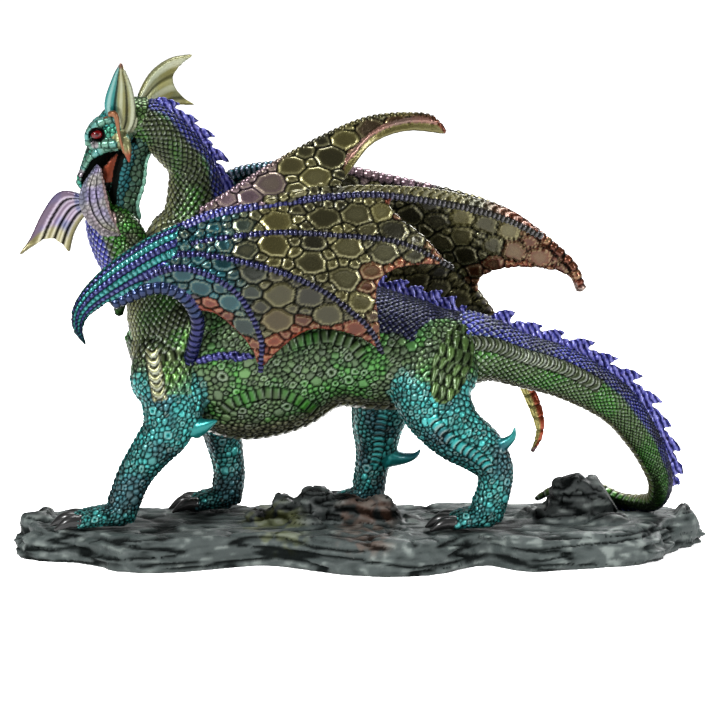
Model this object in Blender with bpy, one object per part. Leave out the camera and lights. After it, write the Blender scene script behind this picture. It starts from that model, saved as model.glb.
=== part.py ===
"""Painted resin figurine: a mother dragon carries her hatchling over a rock plinth."""

import math
import random

import bmesh
import bpy
import numpy as np
from mathutils import Vector

# Driving dimensions, metres
figureLength = 0.290       # from the hatchling's outer wing tip to the last spine of the tail
plinthLength = 0.304
plinthDepth = 0.100
plinthHeight = 0.014       # from the flat underside to the ground that the feet stand on
standGap = 0.0003          # between the soles and the ground
membraneThickness = 0.0025
tailSpineHeight = 0.0072
neckSpineHeight = 0.0050

# The figure's pose and proportions are shares of its length: one unit is 1/290 of it.
# X runs from the head to the tail, Y away from the side that is seen, Z up from the soles.
unit = figureLength / 290
soleLevel = plinthHeight + standGap
plinthShift = -0.08 * plinthDepth      # the ledge in front of the near feet is the deeper one
figureGrain = 1.1 * unit               # size of the smallest form that the figure keeps
rockGrain = 0.0045 * plinthLength
figureFaces = 0.0300                   # share of the fine faces that is kept
rockFaces = 0.0195

# Stations along a limb: x, y, z, half width across the limb, half height in its bend
torsoStations = [
    (-99, 0, 80, 8, 9), (-93, 0, 79, 16, 19), (-80, 0, 77, 22, 31), (-55, 0, 77, 26, 41),
    (-31, 0, 78, 26, 38.5), (-12, 0, 79, 23, 30), (0, 0, 77.5, 22, 27.5), (13, 0, 75, 22, 26),
    (32, 0, 74, 20, 22), (47, 0, 76, 14, 16), (58, 0, 75, 10, 12)]
neckStations = [
    (-75, 0, 80, 21, 27), (-81, 0, 98, 19, 21), (-77, 0, 117, 16, 19), (-71, 0, 132, 13, 16.5),
    (-72, -1, 146, 10.5, 12), (-74, -2, 157, 9.5, 10), (-80, -3, 165, 9.5, 10),
    (-87, -4, 172, 10, 10), (-95, -5, 177, 10, 10)]
tailStations = [
    (47, 0, 76, 14, 16), (58, 0, 75, 12, 13.5), (70, -1, 71, 10.5, 11.8), (90, -3, 65, 9.8, 10.9),
    (111, -3, 52.5, 8.4, 9.2), (123, -1, 37, 7, 7.4), (130, 2, 23, 5.8, 6.1), (132, 6, 14, 5, 5.2),
    (130, 13, 6, 4.4, 4.4), (124, 21, 3, 3.9, 3.9), (115, 27, 3.4, 3.5, 3.5), (106, 31, 7, 3.3, 3.3),
    (95, 33, 9.5, 2.8, 2.8), (86, 34, 6.6, 2.2, 2.2), (78, 34, 2.5, 1.3, 1.3)]
headStations = [
    (-93, -5, 177, 9.5, 9.5), (-102, -6, 177, 9.5, 9), (-107.5, -7, 170.5, 9, 8.7),
    (-112.5, -7, 163, 6.8, 6.4), (-117, -7, 155, 4.8, 4.6), (-120.4, -7, 148, 3.6, 3.3)]
jawStations = [
    (-99, -6, 166, 6, 5), (-103, -7, 156, 4.5, 3.6), (-104, -7, 148, 3.4, 2.8),
    (-104, -7, 141.5, 1.8, 1.7)]
nearFrontLeg = [
    (-80, -12, 78, 10, 16), (-82, -15, 66, 11, 18), (-81, -19, 55, 10, 14), (-84, -21, 43, 8.6, 10.9),
    (-91, -21, 33.5, 7.6, 8.7), (-98, -20, 23, 6.8, 7.4), (-102, -20, 13, 6.6, 7), (-105, -20, 5, 7, 7)]
farFrontLeg = [
    (-66, 12, 70, 10, 15), (-62, 14, 53, 10, 14), (-61, 18, 36.5, 8, 8.8), (-59, 20, 25, 7, 7.2),
    (-58, 20, 16, 6.6, 6.8), (-60, 20, 5, 7, 7.2)]
nearHindLeg = [
    (28, -11, 78, 10, 20), (31, -14, 66, 11, 20), (33, -18, 54, 10.5, 16), (41, -21, 43, 9.5, 12.7),
    (52, -22, 35, 8.4, 10.5), (58, -23, 27, 7.4, 8.1), (58, -23, 18, 6.8, 7.2), (54, -23, 6, 7.2, 7.8)]
farHindLeg = [
    (20, 12, 72, 10, 17), (12, 14, 56, 10.5, 15), (8, 18, 41, 9, 11.8), (7, 21, 29, 8, 9.2),
    (5, 22, 19, 7, 7.2), (3, 22, 6, 7.2, 7.4)]
spurs = [                               # elbow and hock spurs: x, y, z, radius
    [(-72, -21, 44, 5), (-67, -24, 46, 3), (-62, -26, 48.5, 0.6)],
    [(56, -23, 36, 5.5), (62, -25, 40, 3.2), (67, -27, 44, 0.6)],
    [(12, 20, 24, 5), (19, 21, 23.8, 2.8), (25, 21, 24, 0.6)],
    [(-54, 19, 38, 4.5), (-48, 21, 40, 2.6), (-43, 22, 42, 0.6)]]
feet = [                                # x and y of the ankle, reach of the middle toe, splay
    (-105, -20, 21, 5.2), (-61, 20, 15, 5.0), (54, -23, 17, 5.2), (3, 22, 15, 5.0)]

# Fingers of the near wing, from the wrist to the tip
nearLead = [
    (-97, -41, 121), (-88, -41, 128.5), (-69, -40, 137.8), (-57, -39, 141), (-29, -37, 144.7),
    (4, -33, 147.3), (37, -26, 142.5), (61, -20, 135.7), (78, -16, 127.4)]
nearBand = [
    (-40, -38, 146), (-12, -34, 150.5), (4, -32, 151.5), (31, -27, 149.5), (46, -23, 145.6),
    (61, -19, 140.8), (72, -17, 134), (78, -16, 128)]
nearSecond = [
    (-101, -42, 114), (-77, -42, 126), (-39, -43, 132), (-9, -41, 130.7), (17, -36, 127), (39, -30, 115.8)]
nearThird = [
    (-101, -42, 112), (-77, -44, 123), (-43, -46, 118.4), (-17, -45, 108), (2, -42, 92.5), (9, -38, 80)]
nearFourth = [
    (-101, -42, 108.4), (-77, -45, 117.5), (-54, -46, 108), (-43, -43, 88), (-43, -39, 72)]
nearArm = [
    (-106, -41, 101), (-88, -43, 108.6), (-76, -41, 105), (-70, -35, 94), (-72, -27, 81), (-76, -16, 68)]
nearHorn = [                            # the hooked thumb and the back of the hand
    (-118, -36, 83, 0.8, 0.8), (-121, -38, 90, 1.8, 2.4), (-120, -39, 97, 2.6, 3.8),
    (-115, -40, 103.5, 3.4, 5.4), (-107, -41, 110, 3.9, 7), (-98, -41, 116, 4.2, 8),
    (-86, -41, 123, 4, 8.6), (-73, -41, 129, 3, 8.4)]
sailTop = [                             # the sail that stands up from the leading finger
    (-69, -39, 142), (-57, -36, 149), (-45, -32, 156.5), (-25, -25, 167.5), (-4, -19, 177),
    (8, -16, 180), (21, -14, 180.5), (31, -13, 179.2), (38, -12, 171)]
sailFoot = [
    (-69, -40, 138), (-57, -39, 141), (-40, -38, 144), (-25, -36, 146), (-12, -34, 149),
    (-4, -26, 158), (5, -19, 168), (20, -15, 173), (38, -12, 171)]

# Fingers of the far wing
farLead = [
    (-88, 36, 100), (-82, 38, 112), (-73, 39, 134), (-61, 39, 145.6), (-47, 39, 150.5), (-20, 37, 152),
    (13, 34, 146), (48, 29, 138), (66, 26, 131), (79, 24, 122), (92, 22, 110), (97, 21, 99)]
farSecond = [
    (-76, 39, 112), (-62, 41, 120), (-40, 42, 127), (-14, 42, 128), (13, 42, 121), (31, 41, 113),
    (43, 40, 104), (54, 38, 92), (63, 35, 78), (73, 31, 57), (80, 29, 35), (76, 28, 25)]
farTail = [                             # the leaf-shaped end of the second finger
    (66, 35, 70, 2, 3), (73, 32, 55, 2, 3.2), (78, 30, 43, 1.8, 3), (79.5, 29, 34, 1.4, 2),
    (76, 28, 25, 0.6, 0.8)]
farThird = [(-76, 40, 110), (-62, 43, 114), (-45, 44, 111), (-18, 44, 102), (0, 41, 89), (8, 37, 76)]
farFourth = [(-78, 40, 108), (-68, 43, 109), (-56, 44, 100), (-47, 43, 86), (-44, 38, 71)]
farArm = [(-88, 38, 100), (-78, 40, 98), (-71, 36, 88), (-73, 27, 76), (-78, 15, 66)]
farHorn = [(-95, 32, 86, 0.8, 0.8), (-93, 34, 93, 2, 3), (-86, 37, 103, 3.6, 6), (-78, 39, 114, 3.6, 7)]

# The hatchling hangs by its scruff from the mouth
hatchlingStations = [
    (-113, -7, 148, 3, 3.4), (-113, -8, 140, 5, 5.6), (-110, -9, 130, 7, 8.2),
    (-106.5, -9, 120.5, 7.6, 8.6), (-103.5, -9, 111, 6.4, 7), (-104.5, -9, 101, 3.6, 4), (-105, -9, 92, 1.6, 1.8)]
hatchlingHead = [
    (-108, -9, 135, 5, 6), (-101, -13, 132, 4.6, 4.8), (-96, -15, 126, 3.6, 3.8), (-95, -16, 121, 2, 2.2)]
hatchlingLeg = [
    (-104, -13, 124, 4, 4.5), (-98, -16, 119, 3, 3.4), (-97, -16, 113, 2.4, 2.6), (-100, -17, 110, 1.6, 1.8)]
hatchlingFarTop = [(-116, -3, 142), (-130, 3, 144.5), (-138, 6, 135.5), (-144.6, 8, 122), (-149, 7, 116)]
hatchlingFarLow = [(-115, -4, 139), (-121, 0, 133), (-125, 2, 126), (-127, 3, 118)]
hatchlingNearFront = [
    (-112, -13, 158), (-117, -17, 150), (-118.5, -18, 144), (-117, -18, 137), (-112, -17, 128),
    (-103, -14, 125)]
hatchlingNearBack = [
    (-111, -13, 157), (-109, -15, 149), (-108, -15, 141), (-106, -15, 134), (-102, -14, 126)]

# Frills behind the jaw, each between two of its edges
nearFrillFront = [(-106, -12, 172), (-110, -15, 184), (-106.5, -19, 196), (-102.6, -21, 203)]
nearFrillBack = [(-103, -12, 168), (-97.5, -16, 177), (-98, -18, 190), (-102.6, -21, 203)]
nearFrillSpike = [(-105, -12, 172, 4), (-101, -16, 166, 2.6), (-99.6, -18, 159.5, 0.6)]
farFrillTop = [(-98, 2, 183), (-91.6, 6, 195), (-83, 10, 201.5), (-73.5, 14, 203)]
farFrillLow = [(-97, 2, 176), (-85, 12, 181), (-73, 18, 181)]
throatFold = [
    (-95, -6, 169, 6, 6), (-98, -6, 160, 4, 5), (-98.5, -7, 150, 2.6, 4.4), (-101, -8, 140, 2.6, 4),
    (-100, -7, 130, 3.4, 5)]
tongue = [(-101, -6, 168, 4), (-107, -6, 160, 3.6), (-110, -7, 150, 3.2), (-112, -7, 144, 2.4)]

# The plinth's outline in plan: shares of its length and depth, from the left end round the front
plinthOutline = [
    (-0.500, 0.10), (-0.487, -0.10), (-0.449, -0.17), (-0.403, -0.20), (-0.345, -0.38), (-0.273, -0.41),
    (-0.188, -0.30), (-0.148, -0.255), (-0.110, -0.28), (-0.032, -0.44), (0.046, -0.50), (0.109, -0.44),
    (0.151, -0.31), (0.183, -0.24), (0.214, -0.32), (0.248, -0.39), (0.332, -0.31), (0.418, -0.20),
    (0.455, 0.06), (0.490, 0.20), (0.500, 0.33), (0.465, 0.44), (0.38, 0.50), (0.22, 0.47), (0.05, 0.44),
    (-0.12, 0.47), (-0.27, 0.42), (-0.40, 0.36), (-0.47, 0.28)]
rocks = [                               # x, y, z of the middle and half sizes, all in figure units; seed
    (-44, -6, -2, 9, 10, 11, 3), (-33, -4, 1, 10, 11, 13, 8), (-20, -2, 3, 11, 12, 14, 5),
    (-6, -5, 2, 12, 11, 13, 11), (8, -8, 0, 12, 10, 13, 2), (-24, -16, -3, 12, 8, 9, 17),
    (22, -2, -4, 9, 8, 8, 21), (33, 8, -3, 10, 8, 7, 26), (74, 8, -3, 8, 9, 10, 31),
    (93, 4, 8, 13, 13, 16, 7), (104, 7, 9, 12, 11, 11, 13), (88, 2, -2, 18, 15, 11, 19),
    (110, -8, -4, 14, 10, 9, 23), (141, 16, -5, 11, 13, 11, 29), (-141, 4, -5, 11, 12, 11, 37)]
groundZones = [                         # flat places under the feet and the tail: x, y, half sizes
    (-116, -19, 24, 13), (-66, 20, 20, 12), (46, -24, 24, 13), (-3, 23, 17, 12), (127, 18, 12, 19),
    (104, 34, 22, 9)]

# Radii of the wing bones at the wrist and at the tip, and down the arm; the blades of the crests
leadBone = (2.8, 1.5)
innerBone = (2.5, 1.3)
armBone = (3, 4.6, 5, 5.4, 6.2, 7, 8)
bladeHalfWidth = 1.7
bladeSunk = 1.6
bladeOverlap = 0.62                     # half length of a blade's foot, in shares of the pitch


def clearScene():
    for item in list(bpy.data.objects):
        bpy.data.objects.remove(item, do_unlink=True)


def smoothPath(points, perSpan):
    """A smooth curve through the stations, with every column of a station carried along."""
    p = np.array(points, dtype=float)
    ends = np.vstack([2 * p[0] - p[1], p, 2 * p[-1] - p[-2]])
    rows = []
    for i in range(1, len(ends) - 2):
        for step in range(perSpan):
            t = step / perSpan
            a, b, c, d = ends[i - 1], ends[i], ends[i + 1], ends[i + 2]
            rows.append(0.5 * (2 * b + (c - a) * t + (2 * a - 5 * b + 4 * c - d) * t * t
                               + (3 * b - a - 3 * c + d) * t ** 3))
    rows.append(ends[-2])
    return np.array(rows)


def alongPath(path, share):
    """The point at a share of the path's own length."""
    gaps = np.linalg.norm(np.diff(path[:, :3], axis=0), axis=1)
    run = np.concatenate([[0], np.cumsum(gaps)]) / gaps.sum()
    return np.array([np.interp(share, run, path[:, k]) for k in range(path.shape[1])])


def frameAt(path, i):
    """Tangent, side and bend direction of a path at one of its points."""
    ahead = path[min(i + 1, len(path) - 1), :3] - path[max(i - 1, 0), :3]
    tangent = Vector(ahead).normalized()
    side = (Vector((0, 1, 0)) - tangent * tangent.y).normalized()
    return tangent, side, tangent.cross(side)


def addLimb(bm, stations, sides=16, perSpan=4):
    """A closed limb of oval section with rounded ends."""
    stations = [s if len(s) == 5 else (*s, s[3]) for s in stations]
    path = smoothPath(stations, perSpan)
    rings = []
    for i, row in enumerate(path):
        tangent, side, bend = frameAt(path, i)
        middle = Vector(row[:3])
        ring = []
        for k in range(sides):
            angle = 2 * math.pi * k / sides
            out = side * (math.cos(angle) * row[3]) + bend * (math.sin(angle) * row[4])
            ring.append(bm.verts.new((middle + out) * unit))
        rings.append(ring)
    for low, high in zip(rings, rings[1:]):
        for k in range(sides):
            bm.faces.new((low[k], low[(k + 1) % sides], high[(k + 1) % sides], high[k]))
    for ring, row, i, way in ((rings[0], path[0], 0, -1), (rings[-1], path[-1], len(path) - 1, 1)):
        tangent = frameAt(path, i)[0]
        tip = bm.verts.new((Vector(row[:3]) + tangent * (way * 0.55 * min(row[3], row[4]))) * unit)
        for k in range(sides):
            pair = (ring[k], ring[(k + 1) % sides])
            bm.faces.new((*pair[::way], tip))


def addSheet(bm, edgeA, edgeB, ends=(1, 1), scallop=0.0, starts=(0, 0), across=8, along=20):
    """A membrane between two edges; its free end is hollowed between the two tips."""
    pathA = smoothPath(edgeA, 6)
    pathB = smoothPath(edgeB, 6)
    grid = np.zeros((along + 1, across + 1, 3))
    for j in range(across + 1):
        v = j / across
        first = starts[0] + (starts[1] - starts[0]) * v
        last = ends[0] + (ends[1] - ends[0]) * v - scallop * math.sin(math.pi * v) ** 0.8
        for i in range(along + 1):
            u = first + (last - first) * i / along
            grid[i, j] = alongPath(pathA, u)[:3] * (1 - v) + alongPath(pathB, u)[:3] * v
    du = np.gradient(grid, axis=0)
    dv = np.gradient(grid, axis=1)
    normal = np.cross(du, dv)
    length = np.linalg.norm(normal, axis=2, keepdims=True)
    normal /= np.maximum(length, 1e-6)
    half = membraneThickness / unit / 2
    sheets = []
    for way in (1, -1):
        verts = [[bm.verts.new(Vector(p + n * half * way) * unit) for p, n in zip(row, rowN)]
                 for row, rowN in zip(grid, normal)]
        sheets.append(verts)
    top, under = sheets
    for i in range(along):
        for j in range(across):
            bm.faces.new((top[i][j], top[i + 1][j], top[i + 1][j + 1], top[i][j + 1]))
            bm.faces.new((under[i][j], under[i][j + 1], under[i + 1][j + 1], under[i + 1][j]))
    rim = [(i, 0) for i in range(along)] + [(along, j) for j in range(across)]
    rim += [(i, across) for i in range(along, 0, -1)] + [(0, j) for j in range(across, 0, -1)]
    for (i, j), (m, n) in zip(rim, rim[1:] + rim[:1]):
        bm.faces.new((top[i][j], under[i][j], under[m][n], top[m][n]))


def addFinger(bm, points, thick, thin, last=1.0):
    """The bone along one edge of a membrane."""
    path = smoothPath(points, 4)
    rows = []
    for step in range(15):
        share = last * step / 14
        x, y, z = alongPath(path, share)[:3]
        rows.append((x, y, z, thick + (thin - thick) * share))
    addLimb(bm, rows, sides=8, perSpan=1)


def addCrest(bm, stations, first, last, count, height, way):
    """A row of blade-shaped spines on the back of a limb."""
    path = smoothPath(stations, 8)
    gaps = np.linalg.norm(np.diff(path[:, :3], axis=0), axis=1)
    run = np.concatenate([[0], np.cumsum(gaps)]) / gaps.sum()
    pitch = (last - first) * gaps.sum() / count
    for number in range(count):
        share = first + (last - first) * (number + 0.5) / count
        i = int(np.argmin(abs(run - share)))
        row = path[i]
        tangent, side, bend = frameAt(path, i)
        back = bend * way
        lean = tangent * way
        middle = Vector(row[:3])
        reach = height / unit * (0.75 + 0.25 * math.sin(math.pi * (number + 0.5) / count))
        tip = middle + back * (row[4] + reach) + lean * (0.35 * reach)
        foot = middle + back * (row[4] - bladeSunk)
        fore = lean * bladeOverlap * pitch
        aside = side * bladeHalfWidth
        corners = [foot - fore, foot + aside, foot + fore, foot - aside]
        verts = [bm.verts.new(c * unit) for c in corners]
        top = bm.verts.new(tip * unit)
        deep = bm.verts.new((foot - back * 2) * unit)
        for k in range(4):
            a, b = verts[k], verts[(k + 1) % 4]
            bm.faces.new((a, b, top))
            bm.faces.new((b, a, deep))


def addFoot(bm, x, y, reach, splay):
    """Three toes with blunt claws in front of an ankle."""
    for k in (-1, 0, 1):
        out = k * splay
        toe = reach * (1 - 0.12 * abs(k))
        addLimb(bm, [(x + 2, y + 0.3 * out, 6, 5.4), (x - 0.55 * toe, y + 0.8 * out, 5, 4.2),
                     (x - toe, y + 1.35 * out, 3.4, 3.2)], sides=10)
        addLimb(bm, [(x - toe + 2, y + 1.3 * out, 4.2, 3.2), (x - toe - 5, y + 1.6 * out, 3.4, 2.6),
                     (x - toe - 11, y + 1.8 * out, 0.8, 0.8)], sides=8)


def addWing(bm, lead, second, third, fourth, arm, horn, leadEnd, secondEnd, scallops):
    """Membranes between the fingers of one wing, its bones, arm and hooked thumb."""
    addSheet(bm, lead, second, ends=leadEnd, scallop=scallops[0])
    addSheet(bm, second, third, ends=secondEnd, scallop=scallops[1])
    addSheet(bm, third, fourth, scallop=0.14)
    addSheet(bm, fourth, arm, ends=(1, 0.55), scallop=0.12)
    addFinger(bm, lead, *leadBone)
    for finger in (second, third, fourth):
        addFinger(bm, finger, *innerBone)
    addLimb(bm, [(*p, r) for p, r in zip(arm, armBone)], sides=12)
    addLimb(bm, horn)


def newBody(name, bm, grain, share):
    """One closed body from overlapping forms, in its plain faceted shape."""
    bmesh.ops.recalc_face_normals(bm, faces=bm.faces)
    mesh = bpy.data.meshes.new(name)
    bm.to_mesh(mesh)
    bm.free()
    mesh.shade_smooth()
    body = bpy.data.objects.new(name, mesh)
    bpy.context.scene.collection.objects.link(body)
    fuse = body.modifiers.new("fuse", "REMESH")
    fuse.mode = "VOXEL"
    fuse.voxel_size = grain
    facet = body.modifiers.new("facet", "DECIMATE")
    facet.ratio = share
    return body


def addCutter(body, name, low, high):
    """A box that is cut away from a body."""
    bm = bmesh.new()
    bmesh.ops.create_cube(bm, size=1)
    for v in bm.verts:
        v.co = Vector([low[k] + (high[k] - low[k]) * (v.co[k] + 0.5) for k in range(3)])
    mesh = bpy.data.meshes.new(name)
    bm.to_mesh(mesh)
    bm.free()
    cutter = bpy.data.objects.new(name, mesh)
    cutter.display_type = "WIRE"
    cutter.hide_render = True
    bpy.context.scene.collection.objects.link(cutter)
    cut = body.modifiers.new(name, "BOOLEAN")
    cut.operation = "DIFFERENCE"
    cut.solver = "EXACT"
    cut.object = cutter
    return cutter


def paint(body, name, colour, roughness, metallic):
    material = bpy.data.materials.new(name)
    material.use_nodes = True
    shader = material.node_tree.nodes["Principled BSDF"]
    shader.inputs["Base Color"].default_value = (*colour, 1)
    shader.inputs["Roughness"].default_value = roughness
    shader.inputs["Metallic"].default_value = metallic
    material.diffuse_color = (*colour, 1)
    body.data.materials.append(material)


def buildDragon():
    bm = bmesh.new()
    addLimb(bm, torsoStations, sides=24)
    addLimb(bm, neckStations, sides=20)
    addLimb(bm, tailStations, sides=16)
    addLimb(bm, headStations)
    addLimb(bm, jawStations, sides=12)
    addLimb(bm, throatFold, sides=12)
    addLimb(bm, tongue, sides=10)
    for leg in (nearFrontLeg, farFrontLeg, nearHindLeg, farHindLeg):
        addLimb(bm, leg)
    for spur in spurs + [nearFrillSpike]:
        addLimb(bm, spur, sides=10)
    for foot in feet:
        addFoot(bm, *foot)
    addWing(bm, nearLead, nearSecond, nearThird, nearFourth, nearArm, nearHorn, (0.64, 1), (1, 1),
            (0.08, 0.15))
    addSheet(bm, nearLead, nearBand, starts=(0.33, 0), along=26, across=2)
    addSheet(bm, sailFoot, sailTop)
    addWing(bm, farLead, farSecond, farThird, farFourth, farArm, farHorn, (1, 0.66), (0.88, 1),
            (0.07, 0.10))
    addLimb(bm, farTail, sides=10)
    addCrest(bm, neckStations, 0.42, 0.98, 12, neckSpineHeight, -1)
    addCrest(bm, torsoStations, 0.62, 0.92, 7, neckSpineHeight, 1)
    addCrest(bm, tailStations, 0.06, 0.60, 16, tailSpineHeight, 1)
    addCrest(bm, tailStations, 0.74, 0.95, 6, neckSpineHeight, 1)
    addLimb(bm, hatchlingStations, sides=14)
    addLimb(bm, hatchlingHead, sides=12)
    addLimb(bm, hatchlingLeg, sides=10)
    addSheet(bm, hatchlingFarTop, hatchlingFarLow, scallop=0.2)
    addSheet(bm, hatchlingNearFront, hatchlingNearBack)
    addSheet(bm, nearFrillFront, nearFrillBack)
    addSheet(bm, farFrillTop, farFrillLow, scallop=0.3)
    body = newBody("dragon", bm, figureGrain, figureFaces)
    body.location = (0, 0, soleLevel)
    below = 20 * unit
    addCutter(body, "sole_cut", (-figureLength, -figureLength, soleLevel - below),
              (figureLength, figureLength, soleLevel))
    paint(body, "dragon_paint", (0.07, 0.16, 0.11), 0.35, 0.6)
    return body


def addSlab(bm):
    """The ledge of layered rock: rings of its outline, stepped in and out up its height."""
    outline = smoothPath([(*p, 0) for p in plinthOutline] + [(*plinthOutline[0], 0)], 4)[:-1]
    layers = [                          # shares of the plinth's height, and of its outline
        (-0.30, 0.985), (0.10, 0.99), (0.32, 1.0), (0.40, 0.975), (0.66, 0.985), (0.74, 0.955),
        (0.97, 0.95), (1.06, 0.90), (0.96, 0.78), (1.02, 0.60), (0.97, 0.35)]
    middle = Vector((0.0, 0.02, 0.0))
    rings = []
    for number, (height, spread) in enumerate(layers):
        ring = []
        for k, point in enumerate(outline):
            wave = 0.012 * math.sin(2.1 * k + 1.7 * number) + 0.010 * math.sin(0.9 * k - 2.3 * number)
            x, y = (middle[i] + (point[i] - middle[i]) * (spread + wave) for i in (0, 1))
            rise = 0.05 * math.sin(1.3 * k + 0.8 * number) if 0 < number else 0
            ring.append(bm.verts.new((x * plinthLength, y * plinthDepth + plinthShift,
                                      (height + rise) * plinthHeight)))
        rings.append(ring)
    count = len(outline)
    for low, high in zip(rings, rings[1:]):
        for k in range(count):
            bm.faces.new((low[k], low[(k + 1) % count], high[(k + 1) % count], high[k]))
    bm.faces.new(rings[0][::-1])
    bm.faces.new(rings[-1])


def addRock(bm, x, y, z, sizeX, sizeY, sizeZ, seed):
    """A broken stone: the hull of uneven points on an oval."""
    dice = random.Random(seed)
    corners = []
    for k in range(26):
        up = 1 - 2 * (k + 0.5) / 26
        angle = 2.399963 * k
        flat = math.sqrt(1 - up * up)
        reach = dice.uniform(0.72, 1.08)
        spot = Vector((flat * math.cos(angle) * sizeX, flat * math.sin(angle) * sizeY, up * sizeZ)) * reach
        corners.append(bm.verts.new((Vector((x, y, z)) + spot) * unit + Vector((0, 0, plinthHeight))))
    hull = bmesh.ops.convex_hull(bm, input=corners)
    inner = dict.fromkeys(hull["geom_interior"] + hull["geom_unused"])
    bmesh.ops.delete(bm, geom=[v for v in inner if isinstance(v, bmesh.types.BMVert)], context="VERTS")


def buildPlinth():
    bm = bmesh.new()
    addSlab(bm)
    for rock in rocks:
        addRock(bm, *rock)
    body = newBody("rock_plinth", bm, rockGrain, rockFaces)
    addCutter(body, "underside_cut", (-plinthLength, -plinthLength, -plinthHeight),
              (plinthLength, plinthLength, 0))
    for number, (x, y, halfX, halfY) in enumerate(groundZones):
        addCutter(body, f"ground_{number}",
                  ((x - halfX) * unit, (y - halfY) * unit, plinthHeight),
                  ((x + halfX) * unit, (y + halfY) * unit, plinthHeight + 30 * unit))
    paint(body, "rock_paint", (0.04, 0.045, 0.047), 0.6, 0.0)
    return body


clearScene()
buildDragon()
buildPlinth()
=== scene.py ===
import math
import random
from collections import namedtuple

import bmesh
import bpy
import numpy as np
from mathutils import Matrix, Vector, kdtree, noise


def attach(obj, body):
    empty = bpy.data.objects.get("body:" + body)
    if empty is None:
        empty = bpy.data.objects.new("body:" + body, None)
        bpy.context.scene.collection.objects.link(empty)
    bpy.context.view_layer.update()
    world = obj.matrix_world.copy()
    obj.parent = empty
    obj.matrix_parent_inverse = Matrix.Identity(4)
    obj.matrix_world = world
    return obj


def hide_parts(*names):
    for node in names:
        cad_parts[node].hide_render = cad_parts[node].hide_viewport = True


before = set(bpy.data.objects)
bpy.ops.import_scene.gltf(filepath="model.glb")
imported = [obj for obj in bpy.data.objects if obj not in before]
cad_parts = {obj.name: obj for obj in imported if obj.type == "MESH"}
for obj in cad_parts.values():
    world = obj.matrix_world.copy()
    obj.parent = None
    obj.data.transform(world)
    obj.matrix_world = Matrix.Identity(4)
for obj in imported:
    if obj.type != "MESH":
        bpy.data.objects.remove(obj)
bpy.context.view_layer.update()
print("frame loaded")

unit = 0.001             # the figure is laid out in millimetres, head at -X, tail at +X, viewer at -Y
soleLevel = 0.0143       # height of the soles above the underside


class Wire:
    # a socket of a shader, so that sums and products of masks read as plain expressions
    def __init__(self, shader, socket):
        self.shader = shader
        self.socket = socket

    def math(self, kind, *others):
        return self.shader.node("ShaderNodeMath", {"operation": kind}, {n: v for n, v in enumerate((self, *others))})

    def __add__(self, other):
        return self.math("ADD", other)

    def __mul__(self, other):
        return self.math("MULTIPLY", other)

    def __sub__(self, other):
        return self.math("SUBTRACT", other)

    def __rsub__(self, other):
        return self.math("MULTIPLY", -1).math("ADD", other)

    __radd__, __rmul__ = __add__, __mul__


class Shader:
    # the nodes of a material or a world, and the shader that they feed
    def __init__(self, owner, surface, constants):
        owner.use_nodes = True
        self.owner = owner
        self.tree = owner.node_tree
        self.surface = self.tree.nodes[surface]
        for socket, value in constants.items():
            self.surface.inputs[socket].default_value = value

    def node(self, kind, settings, sockets, out=0):
        made = self.tree.nodes.new(kind)
        for name, value in settings.items():
            setattr(made, name, value)
        for name, value in sockets.items():
            if isinstance(value, Wire):
                self.tree.links.new(value.socket, made.inputs[name])
            else:
                made.inputs[name].default_value = value
        return Wire(self, made.outputs[out])

    def mixColour(self, share, low, high, kind="MIX"):
        return self.node("ShaderNodeMix", {"data_type": "RGBA", "blend_type": kind},
                         {0: share, 6: low, 7: high}, 2)

    def feed(self, **sockets):
        for name, wire in sockets.items():
            self.tree.links.new(wire.socket, self.surface.inputs[name.replace("_", " ")])


def pearlPaint(name, look):
    # paint and wash come from the piece's own attribute: colour, and how clear of the dark wash it is
    shader = Shader(bpy.data.materials.new(name), "Principled BSDF",
                    {"Coat Roughness": 0.16, "Specular IOR Level": 0.2})
    place = shader.node("ShaderNodeTexCoord", {}, {}, 3)
    paint = shader.node("ShaderNodeAttribute", {"attribute_name": "paint"}, {})
    clear = shader.node("ShaderNodeAttribute", {"attribute_name": "paint"}, {}, 3)
    blotch = shader.node("ShaderNodeTexNoise", {}, {"Vector": place, "Scale": look["blotch"], "Detail": 4.0})
    grain = shader.node("ShaderNodeTexNoise", {}, {"Vector": place, "Scale": look["grain"], "Detail": 3.0})
    tint = shader.mixColour(0.55 * blotch, paint, shader.mixColour(1.0, paint, (*look["tint"], 1), "MULTIPLY"))
    shader.feed(
        Base_Color=tint,
        Metallic=1 - clear * (1 - look["metal"]),
        Coat_Weight=clear * look["coat"],
        Roughness=look["rough"] + 0.25 * (1 - clear) + 0.22 * (grain - 0.5),
        Normal=shader.node("ShaderNodeBump", {}, {"Strength": look["bump"], "Distance": 0.0004, "Height": grain}))
    return shader.owner


def srgb(*levels):
    # linear colour from screen levels of 0 to 255
    return np.array([(c / 255 / 12.92) if c <= 10 else ((c / 255 + 0.055) / 1.055) ** 2.4 for c in levels])


colours = {
    "wash": srgb(4, 5, 4), "teal": srgb(22, 114, 114), "deepTeal": srgb(10, 66, 76), "green": srgb(36, 90, 18),
    "moss": srgb(50, 70, 34), "neck": srgb(44, 52, 28), "olive": srgb(84, 79, 42), "darkOlive": srgb(48, 46, 25),
    "gold": srgb(118, 112, 66), "blue": srgb(26, 30, 96), "deepBlue": srgb(22, 23, 56), "pink": srgb(120, 98, 112),
    "copper": srgb(94, 36, 16), "paleCopper": srgb(98, 50, 30), "cream": srgb(128, 126, 88),
    "hip": srgb(62, 84, 38), "lavender": srgb(122, 108, 146), "violet": srgb(58, 52, 104),
    "steel": srgb(50, 54, 52), "scute": srgb(74, 72, 50), "mint": srgb(48, 116, 96), "red": srgb(70, 3, 5),
    "pupil": np.array((0.01, 0.004, 0.004)), "claw": np.array((0.004, 0.004, 0.004))}


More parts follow.
